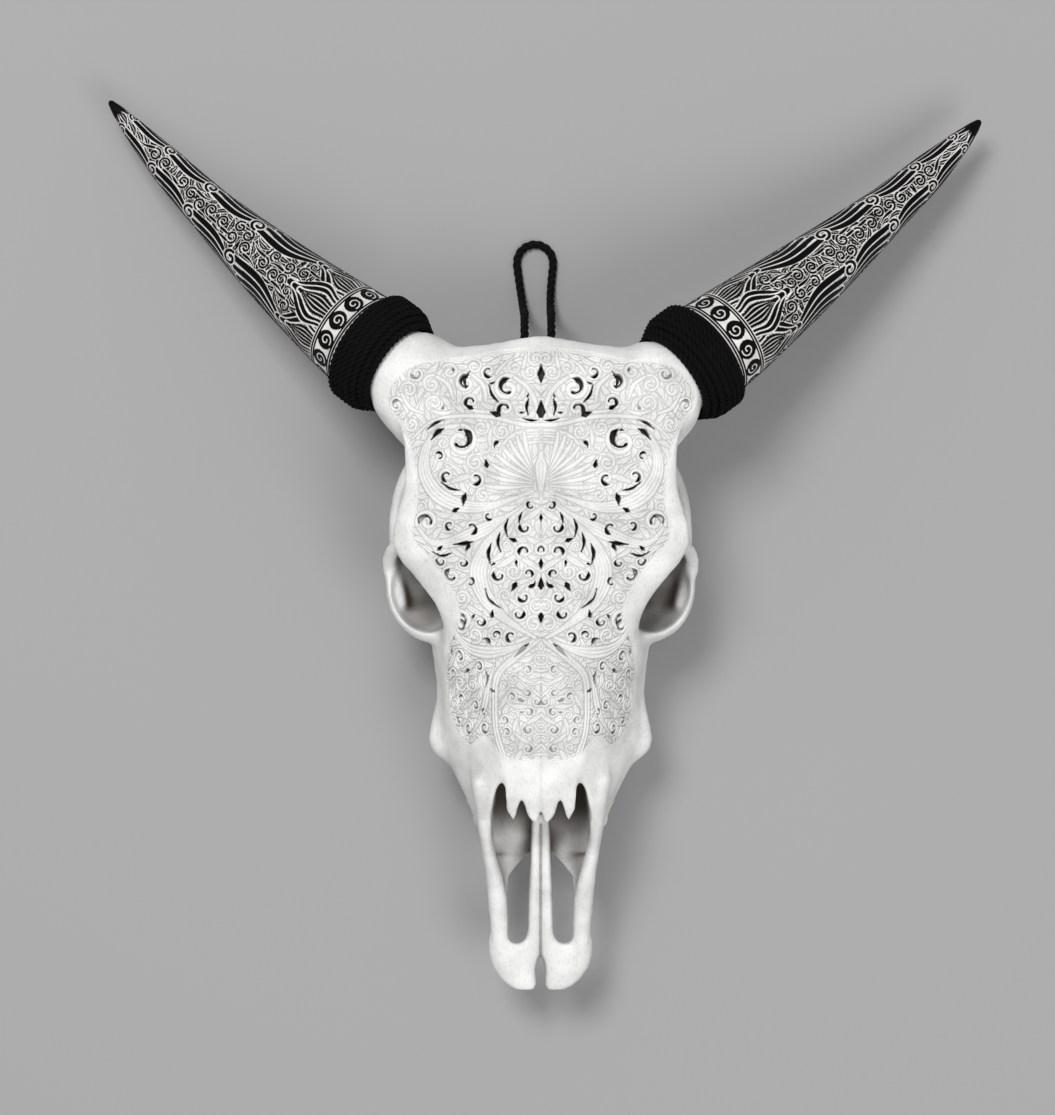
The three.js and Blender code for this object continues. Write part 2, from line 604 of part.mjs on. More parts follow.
// Name of one part of the skull, from where it lies
function partName(part) {
  const { min, max } = part.boundingBox();
  const side = min[0] + max[0] > 0 ? 'left' : 'right';
  if (max[1] > AT.crown) return 'cranium';
  if (min[1] > AT.orbit) return `cheek_arch_${side}`;
  return max[1] > AT.face ? `upper_jaw_${side}` : `premaxilla_${side}`;
}

const BONE = new THREE.MeshStandardMaterial({ color: 0xe8e5de, roughness: 0.62 });
const HORN = new THREE.MeshStandardMaterial({ color: 0x15130f, roughness: 0.4 });
const FIBRE = new THREE.MeshStandardMaterial({ color: 0x0c0b0a, roughness: 0.9 });

function geometryOf(body) {
  const { vertProperties, triVerts } = body.getMesh();
  const geometry = new THREE.BufferGeometry();
  geometry.setAttribute('position', new THREE.BufferAttribute(vertProperties, 3));
  geometry.setIndex(new THREE.BufferAttribute(triVerts, 1));
  geometry.computeVertexNormals();
  return geometry;
}

function addPiece(group, name, geometry, material) {
  const mesh = new THREE.Mesh(geometry, material);
  mesh.name = name;
  group.add(mesh);
}

// Parts of the skull by name, each the largest closed body found there
function namedParts() {
  const parts = new Map();
  skullParts().forEach((part) => {
    const name = partName(part);
    const known = parts.get(name);
    if (!known || part.volume() > known.volume()) parts.set(name, part);
  });
  return parts;
}

function carvedSkull() {
  const skull = new THREE.Group();
  namedParts().forEach((part, name) => addPiece(skull, name, geometryOf(part), BONE));
  const nasals = nasalPlate();
  const leftHalf = block(vec(GAP / 2, 0, 0), vec(FLOOR_REACH, FLOOR_REACH, FACE_TOP));
  const rightHalf = block(vec(-FLOOR_REACH, 0, 0), vec(-GAP / 2, FLOOR_REACH, FACE_TOP));
  addPiece(skull, 'nasal_left', geometryOf(largest(nasals.intersect(leftHalf))), BONE);
  addPiece(skull, 'nasal_right', geometryOf(largest(nasals.intersect(rightHalf))), BONE);
  Object.entries(HORNS).forEach(([side, horn]) => {
    addPiece(skull, `horn_${side}`, geometryOf(hornSolid(horn)), HORN);
    addPiece(skull, `horn_rope_${side}`, geometryOf(largest(ropeWinding(horn))), FIBRE);
  });
  const bounds = new THREE.Box3().setFromObject(skull);
  addPiece(skull, 'hanging_cord', hangingCord(), FIBRE);
  const middle = bounds.getCenter(vec());
  skull.position.set(-middle.x, -middle.y, -bounds.min.z);
  return skull;
}

export default carvedSkull();
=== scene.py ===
# %% [markdown]
# # A carved cattle skull
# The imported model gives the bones, horns, ropes and cord at their true size, as plain solids.
# This lesson dresses them: bone gets its natural skin and its carved, pierced scrollwork, the horns
# get their engraving, and the ropes and the hanging cord are laid up from strands.

# %% Load the frame
import json
import math

import bmesh
import bpy
import numpy as np
from mathutils import Matrix, Vector, noise
from mathutils.bvhtree import BVHTree


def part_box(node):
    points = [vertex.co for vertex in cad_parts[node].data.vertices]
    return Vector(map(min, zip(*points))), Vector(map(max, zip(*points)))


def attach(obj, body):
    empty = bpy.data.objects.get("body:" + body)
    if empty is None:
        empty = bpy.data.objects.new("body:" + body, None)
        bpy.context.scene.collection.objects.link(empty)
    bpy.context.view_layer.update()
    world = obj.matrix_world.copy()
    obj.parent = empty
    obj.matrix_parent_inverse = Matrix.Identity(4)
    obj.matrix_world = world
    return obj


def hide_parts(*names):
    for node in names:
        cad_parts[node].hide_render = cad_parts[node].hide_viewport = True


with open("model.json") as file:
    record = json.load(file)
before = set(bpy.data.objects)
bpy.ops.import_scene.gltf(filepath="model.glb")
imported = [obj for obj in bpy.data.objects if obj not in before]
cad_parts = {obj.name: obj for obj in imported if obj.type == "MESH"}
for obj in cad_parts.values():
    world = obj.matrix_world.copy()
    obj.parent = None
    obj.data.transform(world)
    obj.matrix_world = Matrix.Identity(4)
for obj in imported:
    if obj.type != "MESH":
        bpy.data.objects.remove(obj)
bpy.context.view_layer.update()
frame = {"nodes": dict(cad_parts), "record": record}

print("packed nodes:", sorted(frame["nodes"]))

# %% [markdown]
# ## The skull's own measure
# A carver measures from the midline and from the tip of the nose, so this script does too, in
# millimetres. One function turns such a place into the frame's metres.

# %% Measure from the midline, the nose tip and the floor
MM = 0.001
MIDLINE = (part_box("nasal_left")[0].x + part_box("nasal_right")[1].x) / 2
NOSE_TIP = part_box("premaxilla_left")[0].y
SKULL_ORIGIN = np.array((MIDLINE, NOSE_TIP, 0.0))


def in_frame(points):
    """Places on the skull in millimetres, as places in the frame in metres."""
    return SKULL_ORIGIN + MM * np.asarray(points, float)


def on_skull(points):
    """Places in the frame in metres, as places on the skull in millimetres."""
    return (np.asarray(points, float) - SKULL_ORIGIN) / MM


def smooth(low, high, value):
    """0 below low, 1 above high, with a soft step between."""
    t = np.clip((value - low) / (high - low), 0, 1)
    return t * t * (3 - 2 * t)


print("nose tip at", np.round(in_frame((0, 0, 0)), 4))

# %% [markdown]
# ## Camera, floor and light
# The camera looks straight down on the face, as far away as the photograph's perspective says. A
# large soft lamp from beyond the poll rakes across the face a little, which is what makes carving
# readable, and a pale floor and sky fill the shadows.

# %% Camera at the photograph's viewing angle
PHOTO_PIXELS = (1055, 1115)
PHOTO_MIDLINE = 541
FACE_MM_PER_PIXEL = 0.73
FACE_HEIGHT = 150
CAMERA_ABOVE_FACE = 2300
PHOTO_MIDDLE_FROM_NOSE = 327
SENSOR = 36

camera_data = bpy.data.cameras.new("camera")
camera_data.sensor_width = SENSOR
camera_data.lens = SENSOR * CAMERA_ABOVE_FACE / FACE_MM_PER_PIXEL / max(PHOTO_PIXELS)
camera = bpy.data.objects.new("camera", camera_data)
camera.location = in_frame((
    (PHOTO_PIXELS[0] / 2 - PHOTO_MIDLINE) * FACE_MM_PER_PIXEL,
    PHOTO_MIDDLE_FROM_NOSE,
    FACE_HEIGHT + CAMERA_ABOVE_FACE,
))
bpy.context.scene.collection.objects.link(camera)
bpy.context.scene.camera = camera
print("lens", round(camera_data.lens, 1), "mm")

# %% Colours and nodes
def linear(hex_colour):
    """An sRGB hex value as the linear colour that shaders take."""
    parts = [int(hex_colour[i:i + 2], 16) / 255 for i in (1, 3, 5)]
    return (*[c / 12.92 if c <= 0.04045 else ((c + 0.055) / 1.055) ** 2.4 for c in parts], 1)


def add_node(tree, kind, settings=None, **sockets):
    """Adds a node with its settings, and its sockets set to values or linked to other sockets."""
    made = tree.nodes.new(kind)
    for name, value in (settings or {}).items():
        setattr(made, name, value)
    for name, value in sockets.items():
        socket = made.inputs[int(name[1:])] if name[1:].isdigit() else made.inputs[name.replace("_", " ")]
        if isinstance(value, bpy.types.NodeSocket):
            tree.links.new(value, socket)
        else:
            socket.default_value = value
    return made


def new_material(name):
    """An empty node material, its tree and its shader."""
    material = bpy.data.materials.new(name)
    material.use_nodes = True
    return material, material.node_tree, material.node_tree.nodes["Principled BSDF"]


def stored_value(tree, name):
    """The number that each point of a mesh keeps under a name."""
    return add_node(tree, "ShaderNodeAttribute", {"attribute_name": name}).outputs["Fac"]


def speckle(tree, place, size_mm, detail):
    """Noise with spots of about a size in millimetres."""
    made = add_node(tree, "ShaderNodeTexNoise", Vector=place, Scale=1 / (size_mm * MM), Detail=detail)
    return made.outputs["Fac"]


def ranged(tree, value, low, high, to_low=0.0, to_high=1.0):
    """A value between low and high, stretched to another range and kept within it."""
    made = add_node(tree, "ShaderNodeMapRange", Value=value, From_Min=low, From_Max=high,
                    To_Min=to_low, To_Max=to_high)
    return made.outputs["Result"]


def mixed(tree, share, first, second, blend="MIX"):
    """A first colour with a share of a second one mixed in, or multiplied in."""
    made = add_node(tree, "ShaderNodeMix", {"data_type": "RGBA", "blend_type": blend},
                    i0=share, i6=first, i7=second)
    return made.outputs[2]


# %% Floor and lamps
FLOOR_SIZE = 30
plaster, _, shader = new_material("matt_plaster_floor")
shader.inputs["Base Color"].default_value = linear("#A6A6A6")
shader.inputs["Roughness"].default_value = 0.9

bm = bmesh.new()
bmesh.ops.create_grid(bm, x_segments=1, y_segments=1, size=FLOOR_SIZE / 2)
floor_mesh = bpy.data.meshes.new("floor")
bm.to_mesh(floor_mesh)
bm.free()
floor_mesh.materials.append(plaster)
floor = bpy.data.objects.new("floor", floor_mesh)
bpy.context.scene.collection.objects.link(floor)

LAMPS = {
    "key": {"from": (-0.9, 1.4, 3.6), "size": 1.2, "watts": 84},
    "fill": {"from": (1.4, -1.6, 3.2), "size": 1.6, "watts": 46},
}
for name, lamp in LAMPS.items():
    data = bpy.data.lights.new(name, "AREA")
    data.shape = "SQUARE"
    data.size = lamp["size"]
    data.energy = lamp["watts"]
    light = bpy.data.objects.new(name, data)
    light.location = lamp["from"]
    light.rotation_euler = (-Vector(lamp["from"])).to_track_quat("-Z", "Y").to_euler()
    bpy.context.scene.collection.objects.link(light)

sky = bpy.data.worlds.new("soft_sky")
sky.use_nodes = True
sky.node_tree.nodes["Background"].inputs["Color"].default_value = linear("#F2F2F2")
sky.node_tree.nodes["Background"].inputs["Strength"].default_value = 0.42
bpy.context.scene.world = sky
bpy.context.scene.view_settings.view_transform = "Standard"
print("lamps:", list(LAMPS))

# %% [markdown]
# ## From arrays to pieces
# Each piece is a mesh with its place in its points. A few helpers read and write those points all at
# once, smooth and finish a piece, and hang it on the skull's one body.

# %% Helpers for pieces
def points_of(mesh):
    """All points of a mesh, in metres."""
    points = np.empty(3 * len(mesh.vertices), np.float32)
    mesh.vertices.foreach_get("co", points)
    return points.reshape(-1, 3).astype(float)


def normals_of(mesh):
    """The direction that the surface faces at each point of a mesh."""
    normals = np.empty(3 * len(mesh.vertices), np.float32)
    mesh.vertices.foreach_get("normal", normals)
    return normals.reshape(-1, 3)


def set_points(mesh, points):
    """Moves all points of a mesh to places in metres."""
    mesh.vertices.foreach_set("co", np.asarray(points, np.float32).ravel())
    mesh.update()


def mesh_of(bm, name):
    """Ends a bmesh and keeps its mesh, with smooth faces."""
    mesh = bpy.data.meshes.new(name)
    bm.to_mesh(mesh)
    bm.free()
    mesh.polygons.foreach_set("use_smooth", np.ones(len(mesh.polygons), bool))
    return mesh


def settled(made):
    """The mesh that an object's modifiers make, in place of the object."""
    bpy.context.view_layer.update()
    mesh = bpy.data.meshes.new_from_object(made.evaluated_get(bpy.context.evaluated_depsgraph_get()))
    bpy.data.objects.remove(made)
    return mesh


def store(mesh, name, values):
    """Keeps one number for each point, for the materials to read."""
    mesh.attributes.new(name, "FLOAT", "POINT").data.foreach_set("value", np.asarray(values, np.float32))


def piece(name, mesh, material, slot, *nodes):
    """A finished piece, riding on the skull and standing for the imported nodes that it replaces."""
    mesh.materials.clear()
    mesh.materials.append(material)
    made = bpy.data.objects.new(name, mesh)
    bpy.context.scene.collection.objects.link(made)
    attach(made, "root")
    if nodes:
        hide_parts(*nodes)
    mesh.calc_loop_triangles()
    print(f"{name}: {len(mesh.loop_triangles)} triangles")
    return made


# %% [markdown]
# ## Bleached bone
# Old bone is chalky white with a faint warm tint, a dull sheen where hands have polished it, and fine
# pores that run along the skull. The carving stores its depth in each point, and the colour darkens
# with it: painted shade in the cuts, and painted shadow, nearly black, in the pits. Hollows get
# painted shade with a little brown of dust.

# %% Material: bleached bone
PORE_MM, PORE_LENGTHEN = 1.1, 0.35
PORE_SHADES, PORE_STRENGTH, PORE_BUMP_MM = (0.3, 0.46), 0.25, 0.35
STAIN_MM = 26
CARVED_MM, PIERCED_MM = 1.2, 5.5
# Depths over which the cuts' painted shade and the pits' painted shadow deepen
CUT_SHADES, PIT_SHADES = (0.1, CARVED_MM), (CARVED_MM + 0.6, PIERCED_MM)

bone, tree, shader = new_material("bleached_bone")
place = add_node(tree, "ShaderNodeTexCoord").outputs["Object"]
depth = stored_value(tree, "depth")
# The hollow attribute holds painted shade for hollows and the nasal cavity, with a little brown of dust
hollow = stored_value(tree, "hollow")
stain = speckle(tree, place, STAIN_MM, 6.0)
grain = add_node(tree, "ShaderNodeMapping", Vector=place, Scale=(1, PORE_LENGTHEN, 1))
pores = speckle(tree, grain.outputs["Vector"], PORE_MM, 4.0)
pitted = ranged(tree, pores, *PORE_SHADES, PORE_STRENGTH, 0.0)
skin_tint = add_node(tree, "ShaderNodeValToRGB", Fac=stain)
skin_tint.color_ramp.elements[0].position = 0.35
skin_tint.color_ramp.elements[0].color = linear("#DBDBD9")
skin_tint.color_ramp.elements[1].position = 0.62
skin_tint.color_ramp.elements[1].color = linear("#F3F3F2")
pored_tint = mixed(tree, pitted, skin_tint.outputs["Color"], linear("#8E8A84"), "MULTIPLY")
# Painted shade: the deeper a cut, the greyer its colour
cut_painted_shade = ranged(tree, depth, *CUT_SHADES)
cut_shaded_tint = mixed(tree, cut_painted_shade, pored_tint, linear("#B2B1AF"), "MULTIPLY")
# Painted shade in the hollows, browned a little like dust
shade_and_dust_tint = mixed(tree, hollow, cut_shaded_tint, linear("#4E4236"), "MULTIPLY")
# Painted shadow: the deep pits are coloured nearly black, for the dark behind the piercings
pit_painted_shadow = ranged(tree, depth, *PIT_SHADES)
pit_shadowed_tint = mixed(tree, pit_painted_shadow, shade_and_dust_tint, linear("#26211C"))
bumps = add_node(tree, "ShaderNodeBump", Height=pores, Strength=0.5, Distance=PORE_BUMP_MM * MM)
tree.links.new(pit_shadowed_tint, shader.inputs["Base Color"])
tree.links.new(bumps.outputs["Normal"], shader.inputs["Normal"])
shader.inputs["Roughness"].default_value = 0.58
shader.inputs["IOR"].default_value = 1.5
print("material:", bone.name)

# %% [markdown]
# ## One skin over the bones
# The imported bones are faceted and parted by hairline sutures. A real skull's bones have grown
# together, so copies of them are joined and wrapped in one fine skin by a voxel remesh, which also
# bridges the sutures. A thin bar behind the two bars on the midline of the nose closes the slit between
# them. Smoothing then takes the facets away: much on the broad braincase, little on the thin bones of
# the nose and on the teeth.

# %% Join and wrap the bones
SKIN_MM = 1.7
SEPTUM, SEPTUM_SIZE, SEPTUM_SLOPE = (0, 81, 73), (3.4, 112, 5), 9.3
bone_nodes = [row["node"] for row in frame["record"]["subparts"] if row["material_slot"] == "bone"]

bm = bmesh.new()
for node in bone_nodes:
    bm.from_mesh(frame["nodes"][node].data)
bmesh.ops.remove_doubles(bm, verts=bm.verts, dist=1e-6)
septum = bmesh.ops.create_cube(bm, size=MM)["verts"]
bmesh.ops.scale(bm, verts=septum, vec=SEPTUM_SIZE)
septum_turn = Matrix.Rotation(math.radians(SEPTUM_SLOPE), 3, "X")
bmesh.ops.rotate(bm, verts=septum, cent=(0, 0, 0), matrix=septum_turn)
bmesh.ops.translate(bm, verts=septum, vec=Vector(in_frame(SEPTUM)))
wrapped = bpy.data.objects.new("wrapped_bones", mesh_of(bm, "wrapped_bones"))
bpy.context.scene.collection.objects.link(wrapped)
remesh = wrapped.modifiers.new("skin", "REMESH")
remesh.mode = "VOXEL"
remesh.voxel_size = SKIN_MM * MM
skin_mesh = settled(wrapped)
print("skin:", len(skin_mesh.vertices), "points")

# %% Smooth the skin
BROAD_PASSES, FINE_PASSES = 26, 5
BROAD_FROM, BROAD_ABOVE = 172, 62
ROD_INNER, ROD_FROM = 27, 130
TIP_HALF, TIP_REAR, TIP_ABOVE = 26, 160, 102


def smooth_chosen(bm, chosen, passes):
    """Moves the chosen points towards the middle of their neighbours, several times."""
    verts = [bm.verts[i] for i in np.flatnonzero(chosen)]
    for _ in range(passes):
        bmesh.ops.smooth_vert(
            bm, verts=verts, factor=0.5, use_axis_x=True, use_axis_y=True, use_axis_z=True)


bm = bmesh.new()
bm.from_mesh(skin_mesh)
bm.verts.ensure_lookup_table()
x, y, z = on_skull(points_of(skin_mesh)).T
rod_ends = (np.abs(x) > ROD_INNER) & (y > ROD_FROM)
broad = ((y > BROAD_FROM) | rod_ends) & (z > BROAD_ABOVE)
tips = (np.abs(x) < TIP_HALF) & (y < TIP_REAR) & (z > TIP_ABOVE)
smooth_chosen(bm, ~tips, FINE_PASSES)
smooth_chosen(bm, broad, BROAD_PASSES)
skin_tree = BVHTree.FromBMesh(bm)
skin_mesh = mesh_of(bm, "skull_bone")
print("smoothed", int(broad.sum()), "points of the braincase and face")

# %% [markdown]
# ## A map of the face
# Scrollwork is drawn flat and then laid on the bone. The map's one axis runs across the face, as a
# tape measure lies, from the midline over the roof and down the side. Its other axis runs from nose
# to poll. Rays towards the skull's long axis find the skin, and their lengths, smoothed a little,
# turn a place on the map into a place on the bone.

# %% Measure the skin
AXIS_HEIGHT = 78
RAY_FROM = 320
MAP_Y = np.arange(150, 492, 2.0)
MAP_ANGLE = np.radians(np.arange(0, 116, 1.0))
MAP_BLUR = 4


def blurred(table, passes):
    """Evens out neighbouring measurements."""
    for _ in range(passes):
        padded = np.pad(table, 1, mode="edge")
        table = (padded[:-2, 1:-1] + padded[2:, 1:-1] + padded[1:-1, :-2] + padded[1:-1, 2:]
                 + 2 * padded[1:-1, 1:-1]) / 6
    return table


def skin_radius(side):
    """Distance of the skin from the skull's long axis, by row and by angle from straight up."""
    table = np.full((len(MAP_Y), len(MAP_ANGLE)), np.nan)
    for row, y in enumerate(MAP_Y):
        for column, angle in enumerate(MAP_ANGLE):
            out = np.array((side * math.sin(angle), 0, math.cos(angle)))
            start = in_frame((0, y, AXIS_HEIGHT) + RAY_FROM * out)
            hit = skin_tree.ray_cast(Vector(start), Vector(-out))
            table[row, column] = RAY_FROM - hit[3] / MM if hit[0] else 0
    return blurred(table, MAP_BLUR)


SKIN_RADIUS = {side: skin_radius(side) for side in (1, -1)}


def face_rows(side, rows, across):
    """Places on the skin, in millimetres, for map rows and for distances across from the midline."""
    places = np.empty((len(rows), len(across), 3))
    table = SKIN_RADIUS[side]
    for i, y in enumerate(rows):
        position = (y - MAP_Y[0]) / (MAP_Y[1] - MAP_Y[0])
        below = int(np.clip(math.floor(position), 0, len(MAP_Y) - 2))
        radius = table[below] + (position - below) * (table[below + 1] - table[below])
        x, z = radius * np.sin(MAP_ANGLE), AXIS_HEIGHT + radius * np.cos(MAP_ANGLE)
        tape = np.concatenate(([0], np.cumsum(np.hypot(np.diff(x), np.diff(z)))))
        places[i, :, 0] = side * np.interp(across, tape, x)
        places[i, :, 1] = y
        places[i, :, 2] = np.interp(across, tape, z)
    return places


print("widest skin radius:", round(SKIN_RADIUS[1].max(), 1), "mm")

# %% [markdown]
# ## Drawing relief
# A carver draws strands on the smooth bone, sets each off by a narrow cut, and echoes its outline with
# finer cuts until the leftover ground is full. Only the middles of the gaps are pierced. The relief
# is a fine grid of heights on the map, drawn from front to back. Each strand also tells every cell
# around it how far off it lies and which way it runs, so that later strokes can follow it. The bone's
# carving uses the heights, and the horns' engraving uses the cut lines.

# %% The relief grid
CELL = 0.3
CROWN = 0.3
CUT_WIDTH, CUT_DEPTH = 0.8, 0.95
ECHO_STEP, ECHO_DEPTH, ECHO_REACH = 1.75, 0.65, 9.0


def between_cells(table, column, row):
    """A table's values at places between its cells."""
    column = np.clip(column, 0, table.shape[1] - 1.001)
    row = np.clip(row, 0, table.shape[0] - 1.001)
    c, r = column.astype(int), row.astype(int)
    u, v = column - c, row - r
    return ((table[r, c] * (1 - u) + table[r, c + 1] * u) * (1 - v)
            + (table[r + 1, c] * (1 - u) + table[r + 1, c + 1] * u) * v)


class Relief:
    """Heights, cut lines and piercings on a flat map, drawn stroke by stroke in millimetres."""

    def __init__(self, low, high, cut_width=CUT_WIDTH):
        self.low = np.array(low, float)
        self.cut_width = cut_width
        self.shape = tuple(int(round((b - a) / CELL)) + 1 for a, b in zip(low[::-1], high[::-1]))
        self.height = np.zeros(self.shape)
        self.line = np.zeros(self.shape)
        self.gap = np.full(self.shape, ECHO_REACH)
        self.flow = np.zeros(self.shape)
        self.hole = np.full(self.shape, -ECHO_REACH)

    def near(self, stroke, reach):
        """Window of cells near a stroke: how far each lies from it, to which side and beside which point."""
        cells = np.round((stroke - self.low) / CELL).astype(int)
        span = int(math.ceil(reach / CELL)) + 1
        size = np.array(self.shape[::-1])
        low = np.clip(cells.min(0) - span, 0, size)
        high = np.clip(cells.max(0) + span + 1, 0, size)
        xs = self.low[0] + CELL * np.arange(low[0], high[0])
        ys = self.low[1] + CELL * np.arange(low[1], high[1])
        best = np.full((len(ys), len(xs)), 1e6)
        index = np.zeros(best.shape, int)
        for k, (x, y) in enumerate(stroke):
            a, b = np.clip((cells[k, 0] - span, cells[k, 0] + span + 1), low[0], high[0]) - low[0]
            c, d = np.clip((cells[k, 1] - span, cells[k, 1] + span + 1), low[1], high[1]) - low[1]
            if a >= b or c >= d:
                continue
            away = (xs[a:b] - x)[None, :] ** 2 + (ys[c:d] - y)[:, None] ** 2
            closer = away < best[c:d, a:b]
            best[c:d, a:b][closer] = away[closer]
            index[c:d, a:b][closer] = k
        heading = headings(stroke)
        side = ((ys[:, None] - stroke[index, 1]) * heading[index, 0]
                - (xs[None, :] - stroke[index, 0]) * heading[index, 1])
        return (slice(low[1], high[1]), slice(low[0], high[0])), np.sqrt(best), side, index

    def strand(self, stroke, half_width, lines=0):
        """A strand of varying half width behind all earlier ones, with finer lines cut along it."""
        half_width = np.broadcast_to(half_width, len(stroke))
        window, away, side, index = self.near(stroke, half_width.max() + ECHO_REACH)
        half = half_width[index]
        beyond = away - half
        free = self.gap[window] >= self.cut_width
        inside = free & (beyond < 0)
        groove = np.zeros(away.shape)
        if lines:
            share = np.clip(side / half, -1, 1) * 0.5 + 0.5
            groove = (0.5 + 0.5 * np.cos(2 * np.pi * share * (lines + 1))) ** 3
        crown = CROWN * np.sqrt(1 - np.clip(away / half, 0, 1) ** 4) - CUT_DEPTH * groove
        self.height[window][inside] = crown[inside]
        self.line[window][inside] = groove[inside]
        cut = free & (beyond >= 0) & (beyond < self.cut_width)
        slope = np.sin(np.pi * np.clip(beyond / self.cut_width, 0, 1)) ** 0.6
        self.height[window][cut] = -CUT_DEPTH * slope[cut]
        self.line[window][cut] = slope[cut]
        closer = beyond < self.gap[window]
        heading = headings(stroke)
        self.flow[window][closer] = np.arctan2(heading[:, 1], heading[:, 0])[index][closer]
        self.gap[window] = np.minimum(self.gap[window], np.maximum(beyond, 0))

    def score(self, stroke, half_width):
        """A single cut line."""
        window, away, _, _ = self.near(stroke, half_width + 0.6)
        cut = 1 - smooth(half_width - 0.15, half_width + 0.25, away)
        self.line[window] = np.maximum(self.line[window], cut)

    def pierce(self, stroke, half_width):
        """A pit of varying half width, whose dark end is painted shadow in the colour."""
        half_width = np.broadcast_to(half_width, len(stroke))
        window, away, _, index = self.near(stroke, half_width.max() + 2)
        self.hole[window] = np.maximum(self.hole[window], half_width[index] - away)

    def echo(self):
        """Cuts that echo the strands across the leftover ground."""
        free = self.gap > self.cut_width
        wave = (0.5 + 0.5 * np.cos(2 * np.pi * (self.gap - self.cut_width / 2) / ECHO_STEP)) ** 4
        self.height[free] = -ECHO_DEPTH * wave[free]

    def sample(self, layer, x, y):
        """A layer's values at places on the map, read between its cells."""
        return between_cells(layer, (x - self.low[0]) / CELL, (y - self.low[1]) / CELL)


# %% [markdown]
# ## The carver's strokes
# Scroll ornament of this kind is made from few strokes. A line bends smoothly; a volute winds up round
# its eye, often with a comma-shaped hole in its turn; a plume is a wide strand with lines along it that
# swells and ends in a volute.

# %% Lines
def headings(stroke):
    """Unit direction of a line at each of its points."""
    heading = np.gradient(stroke, axis=0)
    return heading / np.maximum(np.linalg.norm(heading, axis=1), 1e-9)[:, None]


def heading_vector(degrees):
    """Unit vector along a heading in degrees."""
    angle = math.radians(degrees)
    return np.array((math.cos(angle), math.sin(angle)))


def circle_points(angle):
    """Points of a circle of radius 1 at angles in radians."""
    return np.stack((np.cos(angle), np.sin(angle)), 1)


def lengths_along(line):
    """Distance along a line at each of its points."""
    return np.concatenate(([0], np.cumsum(np.linalg.norm(np.diff(line, axis=0), axis=1))))


def along_line(at, walked, values):
    """Values that a line has at distances walked, read at other distances along it."""
    return np.stack([np.interp(at, walked, column) for column in values.T], 1)


def rounded_line(corners, closed=False, spacing=0.45):
    """A smooth line through corners (Catmull-Rom), with points at an even spacing."""
    corners = np.array(corners, float)
    before, after = 2 * corners[:1] - corners[1:2], 2 * corners[-1:] - corners[-2:-1]
    if closed:
        before, after = corners[-1:], corners[:2]
    p = np.concatenate((before, corners, after))
    t = np.linspace(0, 1, 24, endpoint=False)[:, None]
    runs = [
        0.5 * (2 * b + (c - a) * t + (2 * a - 5 * b + 4 * c - d) * t ** 2 + (3 * b - a - 3 * c + d) * t ** 3)
        for a, b, c, d in zip(p, p[1:], p[2:], p[3:])
    ]
    line = np.concatenate(runs if closed else runs + [corners[-1:]])
    walked = lengths_along(line)
    even = np.linspace(0, walked[-1], max(int(walked[-1] / spacing), 4))
    return along_line(even, walked, line)


def bow(start, heading, length, bend, end_bend, spacing=0.45):
    """Line from a start and a heading in degrees, bent by so many degrees a millimetre at both ends."""
    count = max(int(length / spacing), 6)
    angle = np.radians(heading + np.cumsum(np.linspace(bend, end_bend, count)) * length / count)
    steps = circle_points(angle) * length / count
    return np.array(start, float) + np.cumsum(steps, axis=0)


def swell(count, start, middle, end, peak=0.5):
    """Half widths along a stroke, from its start by way of a widest place to its end."""
    t = np.linspace(0, 1, count)
    return np.where(t < peak, start + (middle - start) * smooth(0, peak, t),
                    middle + (end - middle) * smooth(peak, 1, t))


# %% Volutes and plumes
RING, EYE = 0.85, 0.2
WINDING, WINDS_IN_FROM = 400, 0.36
STRAND_SHARE, NARROWEST_RING, WIDEST_RING = 0.14, 0.5, 1.5
EYE_SWELL = 1.25
HOOK_FROM, HOOK_SWEEP = 30, 205
HOOK_REACH, HOOK_WINDS_IN = 0.63, 0.22
HOOK_SHARES = (0, 0.16, 0.38, 0.6, 0.86, 1)
HOOK_HALVES = (0.02, 0.2, 0.15, 0.05, 0.05, 0.09)
NARROWEST_HOOK = 0.24


def ring_half(radius):
    """Half width of the strand that winds up into a volute."""
    return np.clip(STRAND_SHARE * radius, NARROWEST_RING, WIDEST_RING)


def volute(relief, start, heading, radius, turn, pierced=True):
    """A strand that leaves a start along a heading and winds up, to the left (1) or the right (-1)."""
    inward = math.radians(heading + 90 * turn)
    centre = np.array(start, float) + RING * radius * heading_vector(heading + 90 * turn)
    t = np.linspace(0, 1, max(int(radius * 14), 24))
    angle = inward + math.pi + turn * np.radians(WINDING) * t
    reach = radius * (RING + (EYE - RING) * smooth(WINDS_IN_FROM, 1.0, t))
    ring = centre + reach[:, None] * circle_points(angle)
    half = ring_half(radius)
    relief.strand(ring, swell(len(ring), half, half, EYE_SWELL * half, 0.55))
    if pierced:
        t = np.linspace(0, 1, 48)
        angle = inward + math.pi + turn * np.radians(HOOK_FROM + HOOK_SWEEP * t)
        comma = centre + radius * (HOOK_REACH - HOOK_WINDS_IN * t)[:, None] * circle_points(angle)
        hook = radius * np.interp(t, HOOK_SHARES, HOOK_HALVES)
        relief.pierce(comma, np.maximum(hook, NARROWEST_HOOK))


def scroll(relief, corners, radius, turn, width, lines=0, pierced=True):
    """A stem through corners that swells and ends in a volute."""
    stem = rounded_line(corners)
    relief.strand(stem, swell(len(stem), 0.7, width, ring_half(radius)), lines)
    along = headings(stem)[-1]
    volute(relief, stem[-1], math.degrees(math.atan2(along[1], along[0])), radius, turn, pierced)


WIDEST_LEAF = 2.9
MOST_STROKES = 2500
SLIT_EVERY = 18


